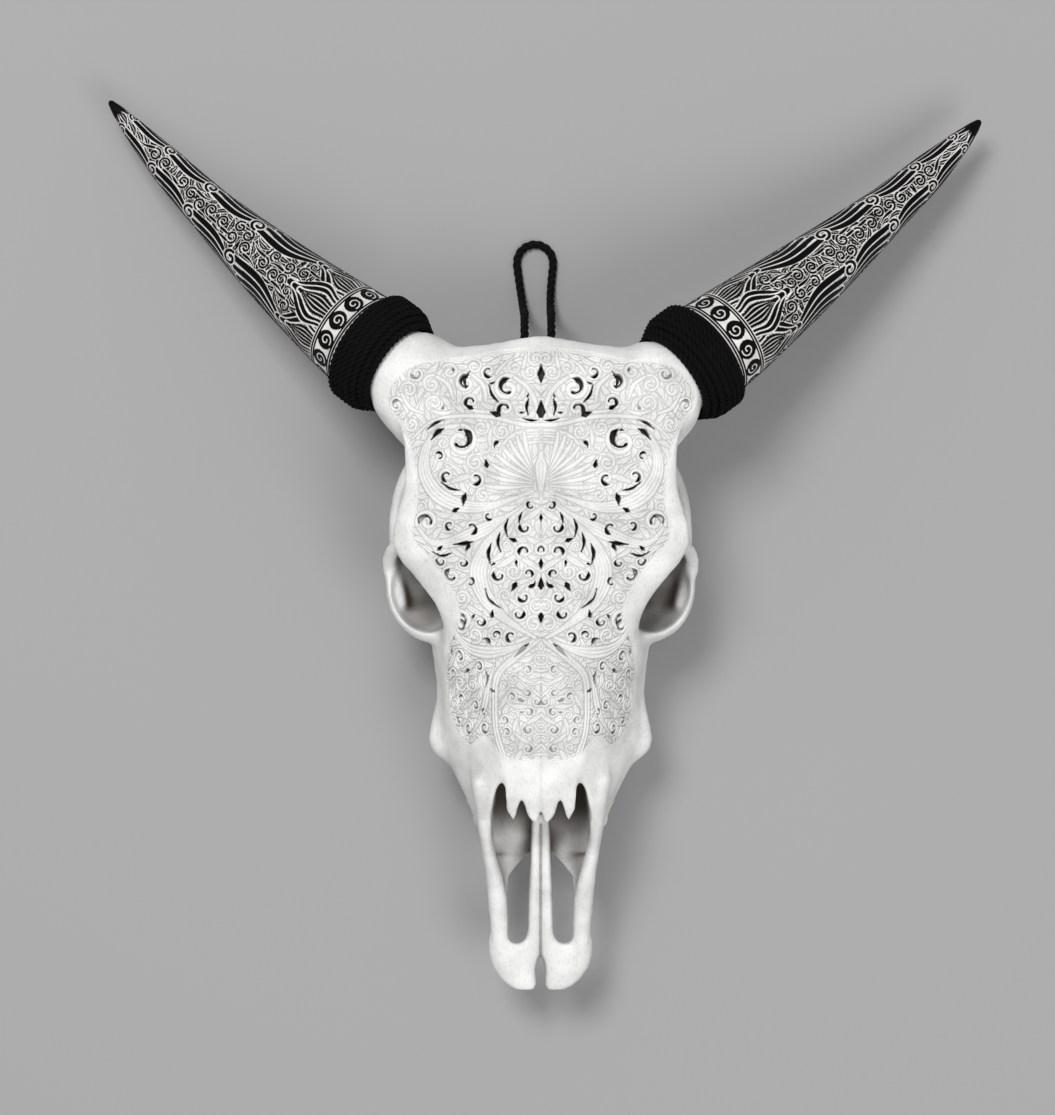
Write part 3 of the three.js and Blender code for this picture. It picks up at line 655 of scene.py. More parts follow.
def fill_gaps(relief, room, largest, smallest, volutes_from, pierced=True):
    """Volutes, leaves and slits along the flow of the ground that is left, the widest gap first."""
    for n in range(MOST_STROKES):
        free = np.minimum(np.minimum(relief.gap, room), -relief.hole)
        row, column = np.unravel_index(free.argmax(), free.shape)
        gap = min(free[row, column], largest)
        if gap < smallest:
            return n
        turn = 1 if n % 2 else -1
        centre = relief.low + CELL * np.array((column, row))
        heading = math.degrees(relief.flow[row, column]) + 180 * (n % 3 == 0)
        ahead = heading_vector(heading)
        if gap > volutes_from:
            radius = 0.92 * gap / (RING + STRAND_SHARE)
            start = centre + RING * radius * turn * np.array((ahead[1], -ahead[0]))
            volute(relief, start, heading, radius, turn, pierced and n % 3 == 1)
            stem = bow(start, heading + 180, 3.0 * radius, -8 * turn / radius, 30 * turn / radius)
            relief.strand(stem, swell(len(stem), STRAND_SHARE * radius, 0.2 * radius, 0.3, 0.3))
        elif pierced and n % SLIT_EVERY == 0:
            slit = bow(centre - 0.9 * gap * ahead, heading - 14 * turn, 1.9 * gap, 0, 24 * turn)
            relief.pierce(slit, swell(len(slit), 0.2, 0.34 * gap, 0.2, 0.3))
        else:
            gap = min(gap, WIDEST_LEAF)
            leaf = bow(centre - 2.6 * gap * ahead, heading - 16 * turn, 5.2 * gap, 2 * turn, 20 * turn / gap)
            half = max(gap - relief.cut_width, 0.6)
            relief.strand(leaf, swell(len(leaf), 0.3, half, 0.4, 0.6), 1 if half > 1.2 else 0)
    return n


# %% [markdown]
# ## Laying out the face
# The scrollwork is the same on both sides of the midline, so only the animal's left half is drawn.
# The layout follows the carved object: a band of scrolls under the poll, a great plume that sweeps
# round each side of the forehead with fans between, a second pair that winds up beside the brow, a
# pointed panel that closes at the root of the nose, and finer scrolls on the nose and cheeks.

# %% Outline of the carved field
FIELD_OUTLINE = [
    (-60, 472), (-30, 478), (0, 480), (30, 478), (60, 472.5), (78, 472), (98, 467), (112, 452), (114, 438),
    (106, 424), (98, 408), (94, 388), (93, 368), (97, 350), (94, 336), (80, 321), (68, 303),
    (63, 289), (67, 277), (76, 266), (84, 250), (88, 230), (87, 210), (77, 194), (62, 186),
    (48, 194), (34, 184), (20, 177), (0, 177), (-30, 180), (-60, 190),
]
MAP_LOW, MAP_HIGH = (-8, 168), (124, 486)


def field_margin(relief, corners):
    """How far each cell lies inside an outline, negative outside it."""
    outline = rounded_line(corners, closed=True)
    window, away, _, _ = relief.near(outline, ECHO_REACH)
    margin = np.full(relief.shape, ECHO_REACH)
    margin[window] = np.minimum(away, ECHO_REACH)
    xs = relief.low[0] + CELL * np.arange(relief.shape[1])[None, :]
    ys = relief.low[1] + CELL * np.arange(relief.shape[0])[:, None]
    inside = np.zeros(relief.shape, bool)
    for (x0, y0), (x1, y1) in zip(outline, np.roll(outline, -1, axis=0)):
        if y0 != y1:
            rows = (ys >= min(y0, y1)) & (ys < max(y0, y1))
            inside ^= rows & (xs < x0 + (ys - y0) * (x1 - x0) / (y1 - y0))
    return np.where(inside, margin, -margin)


face = Relief(MAP_LOW, MAP_HIGH)
face_margin = field_margin(face, FIELD_OUTLINE)
print("carved field:", round(2 * CELL ** 2 * (face_margin > 0).sum() / 100), "square centimetres")

# %% Plumes and fans
# Each scroll: its line, its volute's radius and turn, its half width and the lines cut along it
# The plume that closes the pointed panel
panel = rounded_line([(9, 366), (24, 352), (38, 336), (46, 318), (43, 302), (32, 287), (16, 275), (4, 268)])
face.strand(panel, swell(len(panel), 0.9, 6.4, 1.2), 4)
# The great plume of each side, and the second one beside the brow
great_plume = [
    (6, 375), (20, 370), (40, 364), (60, 365), (77, 374), (86, 390), (84, 407), (74, 420), (61, 423),
]
scroll(face, great_plume, 12, 1, 5.6, 3)
scroll(face, [(7, 369), (20, 359), (36, 350), (54, 342), (70, 337), (82, 339), (90, 348)], 8.6, 1, 5.2, 3)
# The seam beside the nose, the plume below the eye and the one on the cheek
seam = rounded_line([(4, 266), (20, 253), (33, 240), (36, 220), (35, 200), (29, 183)])
face.strand(seam, 2.6, 1)
scroll(face, [(7, 267), (22, 260), (40, 257), (56, 260), (66, 269), (68, 279)], 8.5, 1, 4.6, 2)
scroll(face, [(36, 246), (41, 234), (45, 220), (51, 207), (60, 197)], 5.5, 1, 2.6, 1)
# The arch over the great plumes, the pendant and the fans beside it
arch = rounded_line([(-8, 423.5), (0, 423.5), (14, 424), (36, 429), (60, 430), (80, 426), (95, 414)])
face.strand(arch, swell(len(arch), 1.4, 1.5, 0.8))
pendant = rounded_line([(0, 403), (0, 392), (0, 380), (0, 368)])
face.strand(pendant, swell(len(pendant), 1.6, 4.4, 0.6, 0.3), 2)
for n in range(8):
    fan = bow((6, 379 + 1.8 * n), -2 + 11 * n, 34 - 1.0 * n, -0.6, 1.6)
    face.strand(fan, swell(len(fan), 0.5, 1.5, 1.0, 0.7))
for radius in (10, 14.2, 18.4):
    ring = bow((1.5, 401 + radius), 4, 2.0 * radius, -20 / radius, -64 / radius)
    face.strand(ring, swell(len(ring), 0.8, 1.35, 0.7))
print("plumes drawn")

# %% Small scrolls between the plumes
# Each row: middle across and along, radius, the side it starts from in degrees, its turn
VOLUTES = [
    (69, 386, 6.0, 250, 1), (48, 384, 6.4, 320, -1), (75, 401, 4.6, 20, 1), (41, 407, 4.4, 180, 1),
    (38, 357, 4.4, 200, 1), (51, 348, 6.4, 300, -1), (67, 350, 5.0, 240, 1), (88, 364, 4.2, 90, 1),
    (7.5, 365, 4.4, 100, -1), (12, 349, 6.0, 60, -1), (12.5, 331, 6.2, 300, 1), (26, 336, 4.6, 40, -1),
    (31, 314, 6.6, 60, -1), (9, 315, 4.8, 250, -1), (13, 298, 5.8, 30, -1), (27, 299, 4.6, 330, 1),
    (57, 323, 4.6, 120, 1), (66, 314, 7.4, 100, -1), (52, 309, 4.6, 60, 1), (58, 297, 5.6, 220, -1),
    (62, 277, 6.8, 60, 1), (45, 280, 5.6, 120, 1), (33, 270, 4.6, 200, -1), (47, 297, 3.8, 180, 1),
    (49, 247, 4.8, 60, 1), (67, 254, 5.6, 40, 1), (76, 241, 4.4, 240, -1), (57, 233, 5.2, 0, -1),
    (55, 218, 4.8, 60, 1), (70, 222, 5.0, 180, -1), (46, 213, 3.8, 120, -1), (62, 203, 4.4, 0, 1),
    (75, 206, 4.0, 90, -1), (54, 192, 3.8, 60, 1),
    (10, 245, 4.2, 60, 1), (20, 238, 4.0, 120, -1), (10, 228, 3.6, 300, -1), (22, 225, 4.2, 30, 1),
    (9, 214, 4.4, 90, 1), (20, 211, 3.8, 200, -1), (9.5, 201, 4.8, 60, -1), (26, 199, 4.0, 40, 1),
    (9.5, 187, 4.4, 120, 1), (22, 187, 3.8, 300, -1),
]
UNPIERCED_EVERY = 4
starts = []
for n, (x, y, radius, toward, turn) in enumerate(VOLUTES):
    starts.append((x, y) + RING * radius * heading_vector(toward))
    volute(face, starts[-1], toward + 90 * turn, radius, turn, n % UNPIERCED_EVERY != UNPIERCED_EVERY - 1)
# The band under the poll
scroll(face, [(3, 428), (4, 440), (10, 451), (19, 458)], 10, -1, 1.7, 1)
scroll(face, [(8, 428), (18, 427), (28, 429)], 7.2, 1, 1.6)
scroll(face, [(34, 433), (44, 433), (53, 435)], 6.2, 1, 1.5)
scroll(face, [(40, 440), (42, 452), (50, 460)], 8, -1, 1.6, 1)
scroll(face, [(63, 434), (72, 432), (80, 434)], 6.2, 1, 1.4, 0, False)
scroll(face, [(64, 442), (68, 453), (76, 459)], 7, -1, 1.4, 0, False)
scroll(face, [(86, 432), (96, 436), (102, 446)], 6.5, 1, 1.3, 0, False)
# A stem behind each small scroll
for start, (_, _, radius, toward, turn) in zip(starts, VOLUTES):
    stem = bow(start, toward - 90 * turn, 3.8 * radius, -6 * turn / radius, 26 * turn / radius)
    face.strand(stem, swell(len(stem), STRAND_SHARE * radius, 0.36 * radius, 0.3, 0.4), 1)
print("small scrolls drawn")

# %% Piercings on the midline, along the root of the nose and beside the plumes
def pointed(relief, x, y, size, heading):
    """A three-cornered hole with its sharp end along a heading in degrees."""
    t = np.linspace(-1, 1, 25)
    half = size * np.interp(t, (-1, -0.6, 1), (0.3, 0.62, 0.02))
    relief.pierce((x, y) + size * t[:, None] * heading_vector(heading), half)


# Place along the midline and size of each diamond, which is two triangles, base to base
DIAMONDS = {461: 5.6, 356: 2.4, 322.5: 3.2}
for y, size in DIAMONDS.items():
    pointed(face, 0, y + 0.45 * size, size * 0.8, 90)
    pointed(face, 0, y - 0.45 * size, size * 0.8, 270)
# Each row: place across and along, size, heading of the sharp end
TRIANGLES = [
    (0, 436, 5.6, 90), (0, 308.5, 3.8, 90), (0, 282, 3.4, 270), (40, 396, 2.8, 80), (21, 340, 2.6, 20),
    (20, 305, 3.2, 300), (36, 286, 2.6, 100), (73, 268, 2.8, 10), (34, 432, 3.6, 20), (53, 437, 2.8, 30),
    (74, 334, 2.2, 140), (37, 229, 2.2, 200), (61, 243, 2.4, 330), (54, 334, 2.6, 300), (62, 362, 2.6, 150),
]
for x, y, size, heading in TRIANGLES:
    pointed(face, x, y, size, heading)
# Each row: three places along the slit, half width
SLITS = [
    ((9, 264), (14, 259.5), (20, 254), 1.3), ((55, 374), (56.5, 370), (57, 365), 1.9),
    ((50, 338.5), (57, 337), (64, 336.5), 1.4), ((70, 428), (77, 425.5), (83, 421), 0.9),
    ((71, 421), (76, 418.5), (80.5, 413), 1.8), ((36.5, 337), (38.6, 329.5), (37, 322), 1.3),
    ((30, 345), (31.5, 338), (29.5, 331), 1.0), ((24, 355), (26, 349), (24.5, 342), 0.9),
    ((14, 359.5), (15.5, 356), (16, 352), 0.8), ((9, 443), (10.5, 437), (9.5, 431), 1.0),
    ((52, 463), (56, 457.5), (55, 450.5), 1.3), ((3, 426.8), (8, 427), (13, 428.2), 0.8),
    ((60, 376), (67, 377.5), (73, 382), 0.8), ((43, 244), (41.5, 238.5), (43, 232), 1.1),
    ((43, 195), (46, 191), (48, 187), 1.0), ((30, 290), (38, 296), (41, 304), 0.8),
    ((31, 440), (36, 446), (38, 453), 0.9), ((66, 330), (73, 328), (80, 331), 0.8),
]
for *corners, half in SLITS:
    slit = rounded_line(corners)
    face.pierce(slit, swell(len(slit), 0.25, half, 0.3, 0.4))
print("piercings drawn")

# %% Fill the leftover ground
NOSE_HALF, NOSE_REAR = 33, 262
FIELD_BORDER = 1.2
room = face_margin - FIELD_BORDER
across = face.low[0] + CELL * np.arange(face.shape[1])[None, :]
along = face.low[1] + CELL * np.arange(face.shape[0])[:, None]
on_nose = (across < NOSE_HALF) & (along < NOSE_REAR)
nose_room = np.where(on_nose, room, 0)
strokes_on_nose = fill_gaps(face, nose_room, largest=5.0, smallest=1.7, volutes_from=4.2)
strokes_elsewhere = fill_gaps(face, room, largest=6.5, smallest=1.7, volutes_from=5.4)
face.echo()
print("small strokes:", strokes_on_nose, "on the nose and", strokes_elsewhere, "elsewhere")

# %% [markdown]
# ## The carved surface
# The drawn heights become geometry: a fine grid laid over the field and pushed in or out along the
# skin's own direction. The grid runs a little past the field and slips under the skin there, so no
# edge shows. Below it the skin is sunk, to leave room for the piercings.

# %% Heights of the field
CORNER_FROM = (66, 426)
PIT_DEPTH, NOSE_PIT_DEPTH, CORNER_PIT_DEPTH = 7.5, 2.0, 2.2
PIT_EDGE = (-0.25, 0.45)
UNCUT_BORDER, UNPIERCED_BORDER = (0.8, 3.0), (3.0, 4.5)
EDGE_LIFT, EDGE_DIP, EDGE_DIPS_FROM, EDGE_OVERLAP = 0.05, 0.75, 0.5, 4.0

at_corner = (across > CORNER_FROM[0]) & (along > CORNER_FROM[1])
pit_depth = np.where(on_nose, NOSE_PIT_DEPTH, np.where(at_corner, CORNER_PIT_DEPTH, PIT_DEPTH))
pierced = smooth(*PIT_EDGE, face.hole) * smooth(*UNPIERCED_BORDER, face_margin)
cut_height = face.height * smooth(*UNCUT_BORDER, face_margin)
cut_height = cut_height * (1 - pierced) - pit_depth * pierced
edge_height = EDGE_LIFT - EDGE_DIP * smooth(EDGE_DIPS_FROM, EDGE_OVERLAP, -face_margin)
cut_height = np.where(face_margin < 0, edge_height, cut_height)

# %% Build the carved pieces
GRID_MM = 0.42
PIECE_ROWS = {"poll": (372, 485), "brow": (268, 372), "nose": (170, 268)}
FIELD_REACH = 120
RIM_DEPTH = 9.0


def carved_piece(name, side, first_row, last_row):
    """One part of the carved surface, closed behind by a rim and a back."""
    columns = int(FIELD_REACH / GRID_MM)
    rows = int((last_row - first_row) / GRID_MM)
    bm = bmesh.new()
    bmesh.ops.create_grid(bm, x_segments=columns, y_segments=rows, size=1)
    flat = np.array([v.co[:2] for v in bm.verts])
    across = (flat[:, 0] + 1) / 2 * FIELD_REACH
    along = first_row + (flat[:, 1] + 1) / 2 * (last_row - first_row)
    unique_across, column_of = np.unique(np.round(across, 4), return_inverse=True)
    unique_along, row_of = np.unique(np.round(along, 4), return_inverse=True)
    skin = face_rows(side, unique_along, unique_across)
    by_row, by_column = np.gradient(skin, axis=(0, 1))
    normal = side * np.cross(by_column, by_row)
    normal[:, 0, 0] = 0
    normal /= np.linalg.norm(normal, axis=2)[:, :, None]
    height = face.sample(cut_height, across, along)
    places = skin[row_of, column_of] + normal[row_of, column_of] * height[:, None]
    margin = face.sample(face_margin, across, along)
    for vert, place in zip(bm.verts, in_frame(places)):
        vert.co = place
    # Depth of the cut at each point, which darkens the colour as painted shade and, in the pits, painted
    # shadow
    layer = bm.verts.layers.float.new("depth")
    for vert, value in zip(bm.verts, np.maximum(-height, 0) * (margin > 0)):
        vert[layer] = value
    outside = [v for v, m in zip(list(bm.verts), margin) if m < -EDGE_OVERLAP]
    bmesh.ops.delete(bm, geom=outside, context="VERTS")
    bmesh.ops.delete(bm, geom=[v for v in bm.verts if not v.link_faces], context="VERTS")
    rim = bmesh.ops.extrude_edge_only(bm, edges=[e for e in bm.edges if e.is_boundary])["geom"]
    for vert in [g for g in rim if isinstance(g, bmesh.types.BMVert)]:
        inward = Vector((MIDLINE, vert.co.y, AXIS_HEIGHT * MM)) - vert.co
        vert.co += RIM_DEPTH * MM * inward.normalized()
    bmesh.ops.holes_fill(bm, edges=[e for e in bm.edges if e.is_boundary], sides=0)
    bmesh.ops.recalc_face_normals(bm, faces=bm.faces)
    piece(name, mesh_of(bm, name), bone, "bone")


for part, (first_row, last_row) in PIECE_ROWS.items():
    for label, side in (("left", 1), ("right", -1)):
        carved_piece(f"carved_{part}_{label}", side, first_row, last_row)

# %% [markdown]
# ## The bare bone
# Around the carving the bone is bare: temples, brows, the rims of the eye sockets, the tip of the nose,
# the cheek knobs and the whole underside. Here the skin is sunk under the carved field, and gets
# the slight unevenness of real bone. Hollows are found and darkened in the colour as painted shade
# with a little brown of dust, and at the end faces are thinned out where the bone is plain.

# %% Find the hollows
# How much each point is closed in by bone, for the painted shade in hollows
HOLLOW_REACH = 45
HOLLOW_RAYS = 14
RAY_LIFT, RAYS_LEAN = 0.6, 1.02
HOLLOW_SHADES, HOLLOW_PASSES = (0.14, 0.6), 10


def hollows(mesh, bvh):
    """Share of the rays from each point that meet bone nearby: near 1 deep inside a hollow."""
    places = points_of(mesh)
    k = np.arange(HOLLOW_RAYS)
    z = 1 - (2 * k + 1) / HOLLOW_RAYS
    turn = k * math.pi * (3 - math.sqrt(5))
    sphere = np.stack((np.sqrt(1 - z * z) * np.cos(turn), np.sqrt(1 - z * z) * np.sin(turn), z), 1)
    share = np.zeros(len(places))
    for i, (place, normal) in enumerate(zip(places, normals_of(mesh))):
        start = Vector(place + normal * RAY_LIFT * MM)
        for ray in sphere + RAYS_LEAN * normal:
            share[i] += bvh.ray_cast(start, Vector(ray), HOLLOW_REACH * MM)[0] is not None
    return share / HOLLOW_RAYS


def evened(mesh, values, passes):
    """Averages each point's value with its neighbours'."""
    edges = np.empty(2 * len(mesh.edges), np.int32)
    mesh.edges.foreach_get("vertices", edges)
    a, b = edges.reshape(-1, 2).T
    count = 1 + np.bincount(a, minlength=len(values)) + np.bincount(b, minlength=len(values))
    for _ in range(passes):
        total = values + np.bincount(a, values[b], len(values)) + np.bincount(b, values[a], len(values))
        values = total / count
    return values


# Painted shade: the more a point is closed in, the darker and browner its colour
hollow_shade_and_dust = smooth(*HOLLOW_SHADES, evened(skin_mesh, hollows(skin_mesh, skin_tree), HOLLOW_PASSES))
print("deep hollow points:", int((hollow_shade_and_dust > 0.5).sum()))

# %% Sink the skin under the carving and finish it
SUNK_MM, SINK_RAMP, NEAR_SKIN = 12.0, 4.0, 5
BARS = (22, 128)
NASALS_REAR = BROAD_FROM + 8
NOTCH_AT, NOTCH_HALF, NOTCH_DEPTH = 14.2, 3.6, 6.0
NOTCH_REAR, NOTCH_BLEND = 144, 18
MIDDLE_NOTCH_SHARE, MIDDLE_NOTCH_HALF = 0.5, 1.8
BAR_SEAM, NASAL_SEAM, SEAM_EDGE = 1.6, 0.5, (0.3, 1.5)
# Where the nasal cavity's floor gets painted shade, deepening towards the rear
CAVITY_HALF, CAVITY_ROOF, CAVITY_REAR = 36, 80, NOTCH_REAR + 40
CAVITY_DARKENS, CAVITY_PASSES = (102, 142), 6
UNEVEN_MM, UNEVEN_SIZE = 0.22, 9.0
# How much the surface must face upward to count as a bar, a nasal bone or the cavity's floor
BAR_FACING, NASAL_FACING, CAVITY_FACING = 0.2, 0.5, -0.3

places = on_skull(points_of(skin_mesh))
normals = normals_of(skin_mesh)
x, y, z = places.T
angle = np.arctan2(np.abs(x), z - AXIS_HEIGHT)
radius = np.hypot(x, z - AXIS_HEIGHT)
row = (y - MAP_Y[0]) / (MAP_Y[1] - MAP_Y[0])
column = angle / (MAP_ANGLE[1] - MAP_ANGLE[0])
sunk = np.zeros(len(places))
for side in (1, -1):
    table = SKIN_RADIUS[side]
    ring_x, ring_z = table * np.sin(MAP_ANGLE), table * np.cos(MAP_ANGLE)
    tape = np.zeros(table.shape)
    tape[:, 1:] = np.cumsum(np.hypot(np.diff(ring_x, axis=1), np.diff(ring_z, axis=1)), axis=1)
    across = between_cells(tape, column, row)
    skin_at = between_cells(table, np.floor(column), row)
    near_skin = (np.sign(x) == side) & (np.abs(radius - skin_at) < NEAR_SKIN) & (angle < MAP_ANGLE[-1])
    margin = face.sample(face_margin, across, y)
    margin[(y < MAP_LOW[1]) | (y > MAP_HIGH[1]) | (across > MAP_HIGH[0])] = -ECHO_REACH
    sunk = np.where(near_skin, SUNK_MM * smooth(0.0, SINK_RAMP, margin), sunk)
toward_axis = np.stack((-x, np.zeros(len(x)), AXIS_HEIGHT - z), 1)
toward_axis /= np.maximum(radius, 1)[:, None]
uneven = np.array([noise.fractal(Vector(p) / UNEVEN_SIZE, 1.0, 2.0, 3) for p in places])
at_tips = (z > TIP_ABOVE) & (y < NOTCH_REAR + NOTCH_BLEND)
beside = (np.exp(-((np.abs(x) - NOTCH_AT) / NOTCH_HALF) ** 2)
          + MIDDLE_NOTCH_SHARE * np.exp(-(x / MIDDLE_NOTCH_HALF) ** 2))
places[:, 1] += at_tips * NOTCH_DEPTH * beside * (1 - smooth(NOTCH_REAR, NOTCH_REAR + NOTCH_BLEND, y))
facing = normals[:, 2]
on_bars = (y > BARS[0]) & (y < BARS[1]) & (facing > BAR_FACING)
on_nasals = (y > BARS[1]) & (y < NASALS_REAR) & (facing > NASAL_FACING) & (z > TIP_ABOVE)
seam_depth = (on_bars * BAR_SEAM + on_nasals * NASAL_SEAM) * (1 - smooth(*SEAM_EDGE, np.abs(x)))
places[:, 2] -= seam_depth
places += toward_axis * sunk[:, None] + normals * (UNEVEN_MM * uneven)[:, None]
places[:, 2] = np.maximum(places[:, 2], 0.0)
set_points(skin_mesh, in_frame(places))
# Painted shade in the nasal cavity, darker further back under the nasal bones, with a little brown of dust
in_cavity = (np.abs(x) < CAVITY_HALF) & (z < CAVITY_ROOF) & (y < CAVITY_REAR) & (facing > CAVITY_FACING)
cavity_shade_and_dust = evened(skin_mesh, in_cavity * smooth(*CAVITY_DARKENS, y), CAVITY_PASSES)
store(skin_mesh, "hollow", np.maximum(hollow_shade_and_dust, cavity_shade_and_dust))
# The seams' depth darkens them in the colour as painted shade, as in the carved cuts
store(skin_mesh, "depth", seam_depth)

# %% Thin out the faces where the bone is plain
FACES_KEPT = 0.6
thinned = bpy.data.objects.new("thinned_bone", skin_mesh)
bpy.context.scene.collection.objects.link(thinned)
thinned.modifiers.new("fewer_faces", "DECIMATE").ratio = FACES_KEPT
piece("skull_bone", settled(thinned), bone, "bone", *bone_nodes)

# %% [markdown]
# ## Tubes
# Horns and the strands of rope and cord are all tubes: a grid rolled up round a line. The grid's middle
# runs along the line's upward side and its seam below, so a pattern can be laid on it from above.

# %% Roll a grid round a line
def line_frame(line):
    """Upward side and level side of a line at each of its points."""
    along = headings(line)
    up = np.array((0, 0, 1.0)) - along * along[:, 2:]
    short = np.linalg.norm(up, axis=1) < 0.2
    up[short] = np.array((0, 1.0, 0)) - along[short] * along[short, 1:2]
    up /= np.linalg.norm(up, axis=1)[:, None]
    return up, np.cross(along, up)


def round_line(turn, up, level):
    """Directions out from a line, at angles from its upward side."""
    return np.cos(turn)[:, None] * up + np.sin(turn)[:, None] * level


def evenly(share):
    """Angles of a tube's columns at even steps."""
    return math.pi * share


def tube(bm, line, radius_of, columns, turn_of=evenly):
    """Adds a tube whose columns turn_of spreads and whose radius radius_of gives at each point.

    Returns its points, with the row and the angle of each.
    """
    up, level = line_frame(line)
    made = bmesh.ops.create_grid(bm, x_segments=columns, y_segments=len(line) - 1, size=1)["verts"]
    flat = np.array([v.co[:2] for v in made])
    row = np.round((flat[:, 1] + 1) / 2 * (len(line) - 1)).astype(int)
    turn = turn_of(flat[:, 0])
    places = line[row] + radius_of(row, turn)[:, None] * round_line(turn, up[row], level[row])
    for vert, place in zip(made, in_frame(places)):
        vert.co = place
    return made, row, turn


def close_tubes(bm, seam_mm=0.02):
    """Welds the tubes' seams and caps their ends."""
    bmesh.ops.remove_doubles(bm, verts=bm.verts, dist=seam_mm * MM)
    bmesh.ops.holes_fill(bm, edges=[e for e in bm.edges if e.is_boundary], sides=0)
    bmesh.ops.recalc_face_normals(bm, faces=bm.faces)


# %% [markdown]
# ## Engraved horns
# The horns are dyed black and polished, then cut with fine lines that show the pale horn beneath. From
# the rope outward: a double ring, a pale band of dark discs with a spiral in each, another double
# ring, a crown of petals, and then tiers of bold feathers that sweep in from both sides of a column
# of fine scrolls, smaller and smaller towards the plain tip. The pattern is drawn flat, by length
# along the horn and by width round it, and the underside repeats it.

# %% Material: black-dyed horn with engraved lines
RUBBED_MM, RUBBED_SHADES, RUBBED_TO = 6, (0.3, 0.7), (0.72, 1.0)
LINE_SHADES = (0.42, 0.82)
HORN_ROUGHNESS = (0.45, 0.8)

horn, tree, shader = new_material("black_dyed_horn")
engraved = stored_value(tree, "engraved")
place = add_node(tree, "ShaderNodeTexCoord").outputs["Object"]
rubbed = speckle(tree, place, RUBBED_MM, 5.0)
cut_edge = ranged(tree, engraved, *LINE_SHADES)
worn = ranged(tree, rubbed, *RUBBED_SHADES, *RUBBED_TO)
pale = add_node(tree, "ShaderNodeMath", {"operation": "MULTIPLY"}, i0=cut_edge, i1=worn)
horn_tint = mixed(tree, pale.outputs["Value"], linear("#060606"), linear("#F2F1EE"))
gloss = ranged(tree, engraved, 0.0, 1.0, *HORN_ROUGHNESS)
tree.links.new(horn_tint, shader.inputs["Base Color"])
tree.links.new(gloss, shader.inputs["Roughness"])
shader.inputs["Specular IOR Level"].default_value = 0.1
print("material:", horn.name)

# %% Lines and sizes of the horns
# Base, bend and tip of the curve that each horn's middle line follows
HORNS = {
    "left": ((96, 458.8, 124), (260.6, 580.3, 52), (336.6, 661.3, 40)),
    "right": ((-102.6, 465.4, 124), (-234.9, 563.5, 52), (-329.7, 676.2, 40)),
}
# Each row: share of the way along that curve, radius there
HORN_RADIUS = (
    (0, 38.5), (0.08, 38.5), (0.16, 36), (0.325, 29.5), (0.61, 18), (0.77, 14), (0.9, 8.5), (0.97, 4.4),
    (0.995, 2.2), (1, 0.6),
)
ROPE_WIDTH = 35
HORN_ROW = 0.74


def horn_line(side, step):
    """Points along a horn's middle line at even steps, with their radius and distance along it."""
    base, bend, tip = (np.array(p) for p in HORNS[side])
    t = np.linspace(0, 1, 3000)[:, None]
    line = (1 - t) ** 2 * base + 2 * t * (1 - t) * bend + t ** 2 * tip
    walked = lengths_along(line)
    along = np.linspace(0, walked[-1], int(walked[-1] / step))
    share = np.interp(along, walked, t[:, 0])
    return along_line(along, walked, line), np.interp(share, *zip(*HORN_RADIUS)), along


print("horn length", round(horn_line("left", 1.0)[2][-1]), "mm")

# %% Draw the engraving
HORN_LENGTH = 335
HALF_ROUND = 64
DISC_RADIUS, DISC_STEP, DISCS_EACH_SIDE = 7.4, 17.5, 4
BAND, BAND_MIDDLE = (ROPE_WIDTH + 6.5, ROPE_WIDTH + 21.5), ROPE_WIDTH + 14
RINGS, RING_HALF, SPIRAL_HALF = (2.5, 5.0, 23.0, 25.2), 0.45, 0.55
CROWN_FROM, PETAL_STEP = ROPE_WIDTH + 25, 27
# Each row: half width, length and lines of a petal, the front one first
PETALS = ((8.6, 33, 4), (13.0, 39, 0), (17.4, 44, 0))
BOLD_CUT, NARROWEST_BOLD_CUT, FINE_CUT = 1.9, 1.2, 0.9
FEATHER_TIERS, FEATHERS = 5, 4
FEATHER_LENGTH, FEATHER_HALF, CURL_RADIUS = 72, 2.6, 6.4
TIER_STEP, TIER_SHRINK = 60, 0.89

engraving = Relief((ROPE_WIDTH - 4, -HALF_ROUND), (HORN_LENGTH, HALF_ROUND), BOLD_CUT)
around = np.linspace(-HALF_ROUND, HALF_ROUND, 300)
_, horn_radius, horn_along = horn_line("left", 1.0)


def ring_at(along):
    """A line right round the horn."""
    return np.stack((np.full(len(around), along), around), 1)


def beside_top(along, share, offset=0.0):
    """A place on the horn's map by its share of the way from the top line to the horn's side."""
    side = math.pi / 2 * np.interp(along, horn_along, horn_radius)
    return along, share * side + np.sign(share) * offset


# A crown of petals, each a striped one in front of two plain ones
for n in (0, 1, -1, 2, -2):
    for half, length, lines in PETALS:
        petal = bow((CROWN_FROM, PETAL_STEP * n), 3 * n, length - 4 * abs(n), 0, 0.2 * n)
        engraving.strand(petal, swell(len(petal), 0.75 * half, half, 0.12 * half, 0.36), lines)
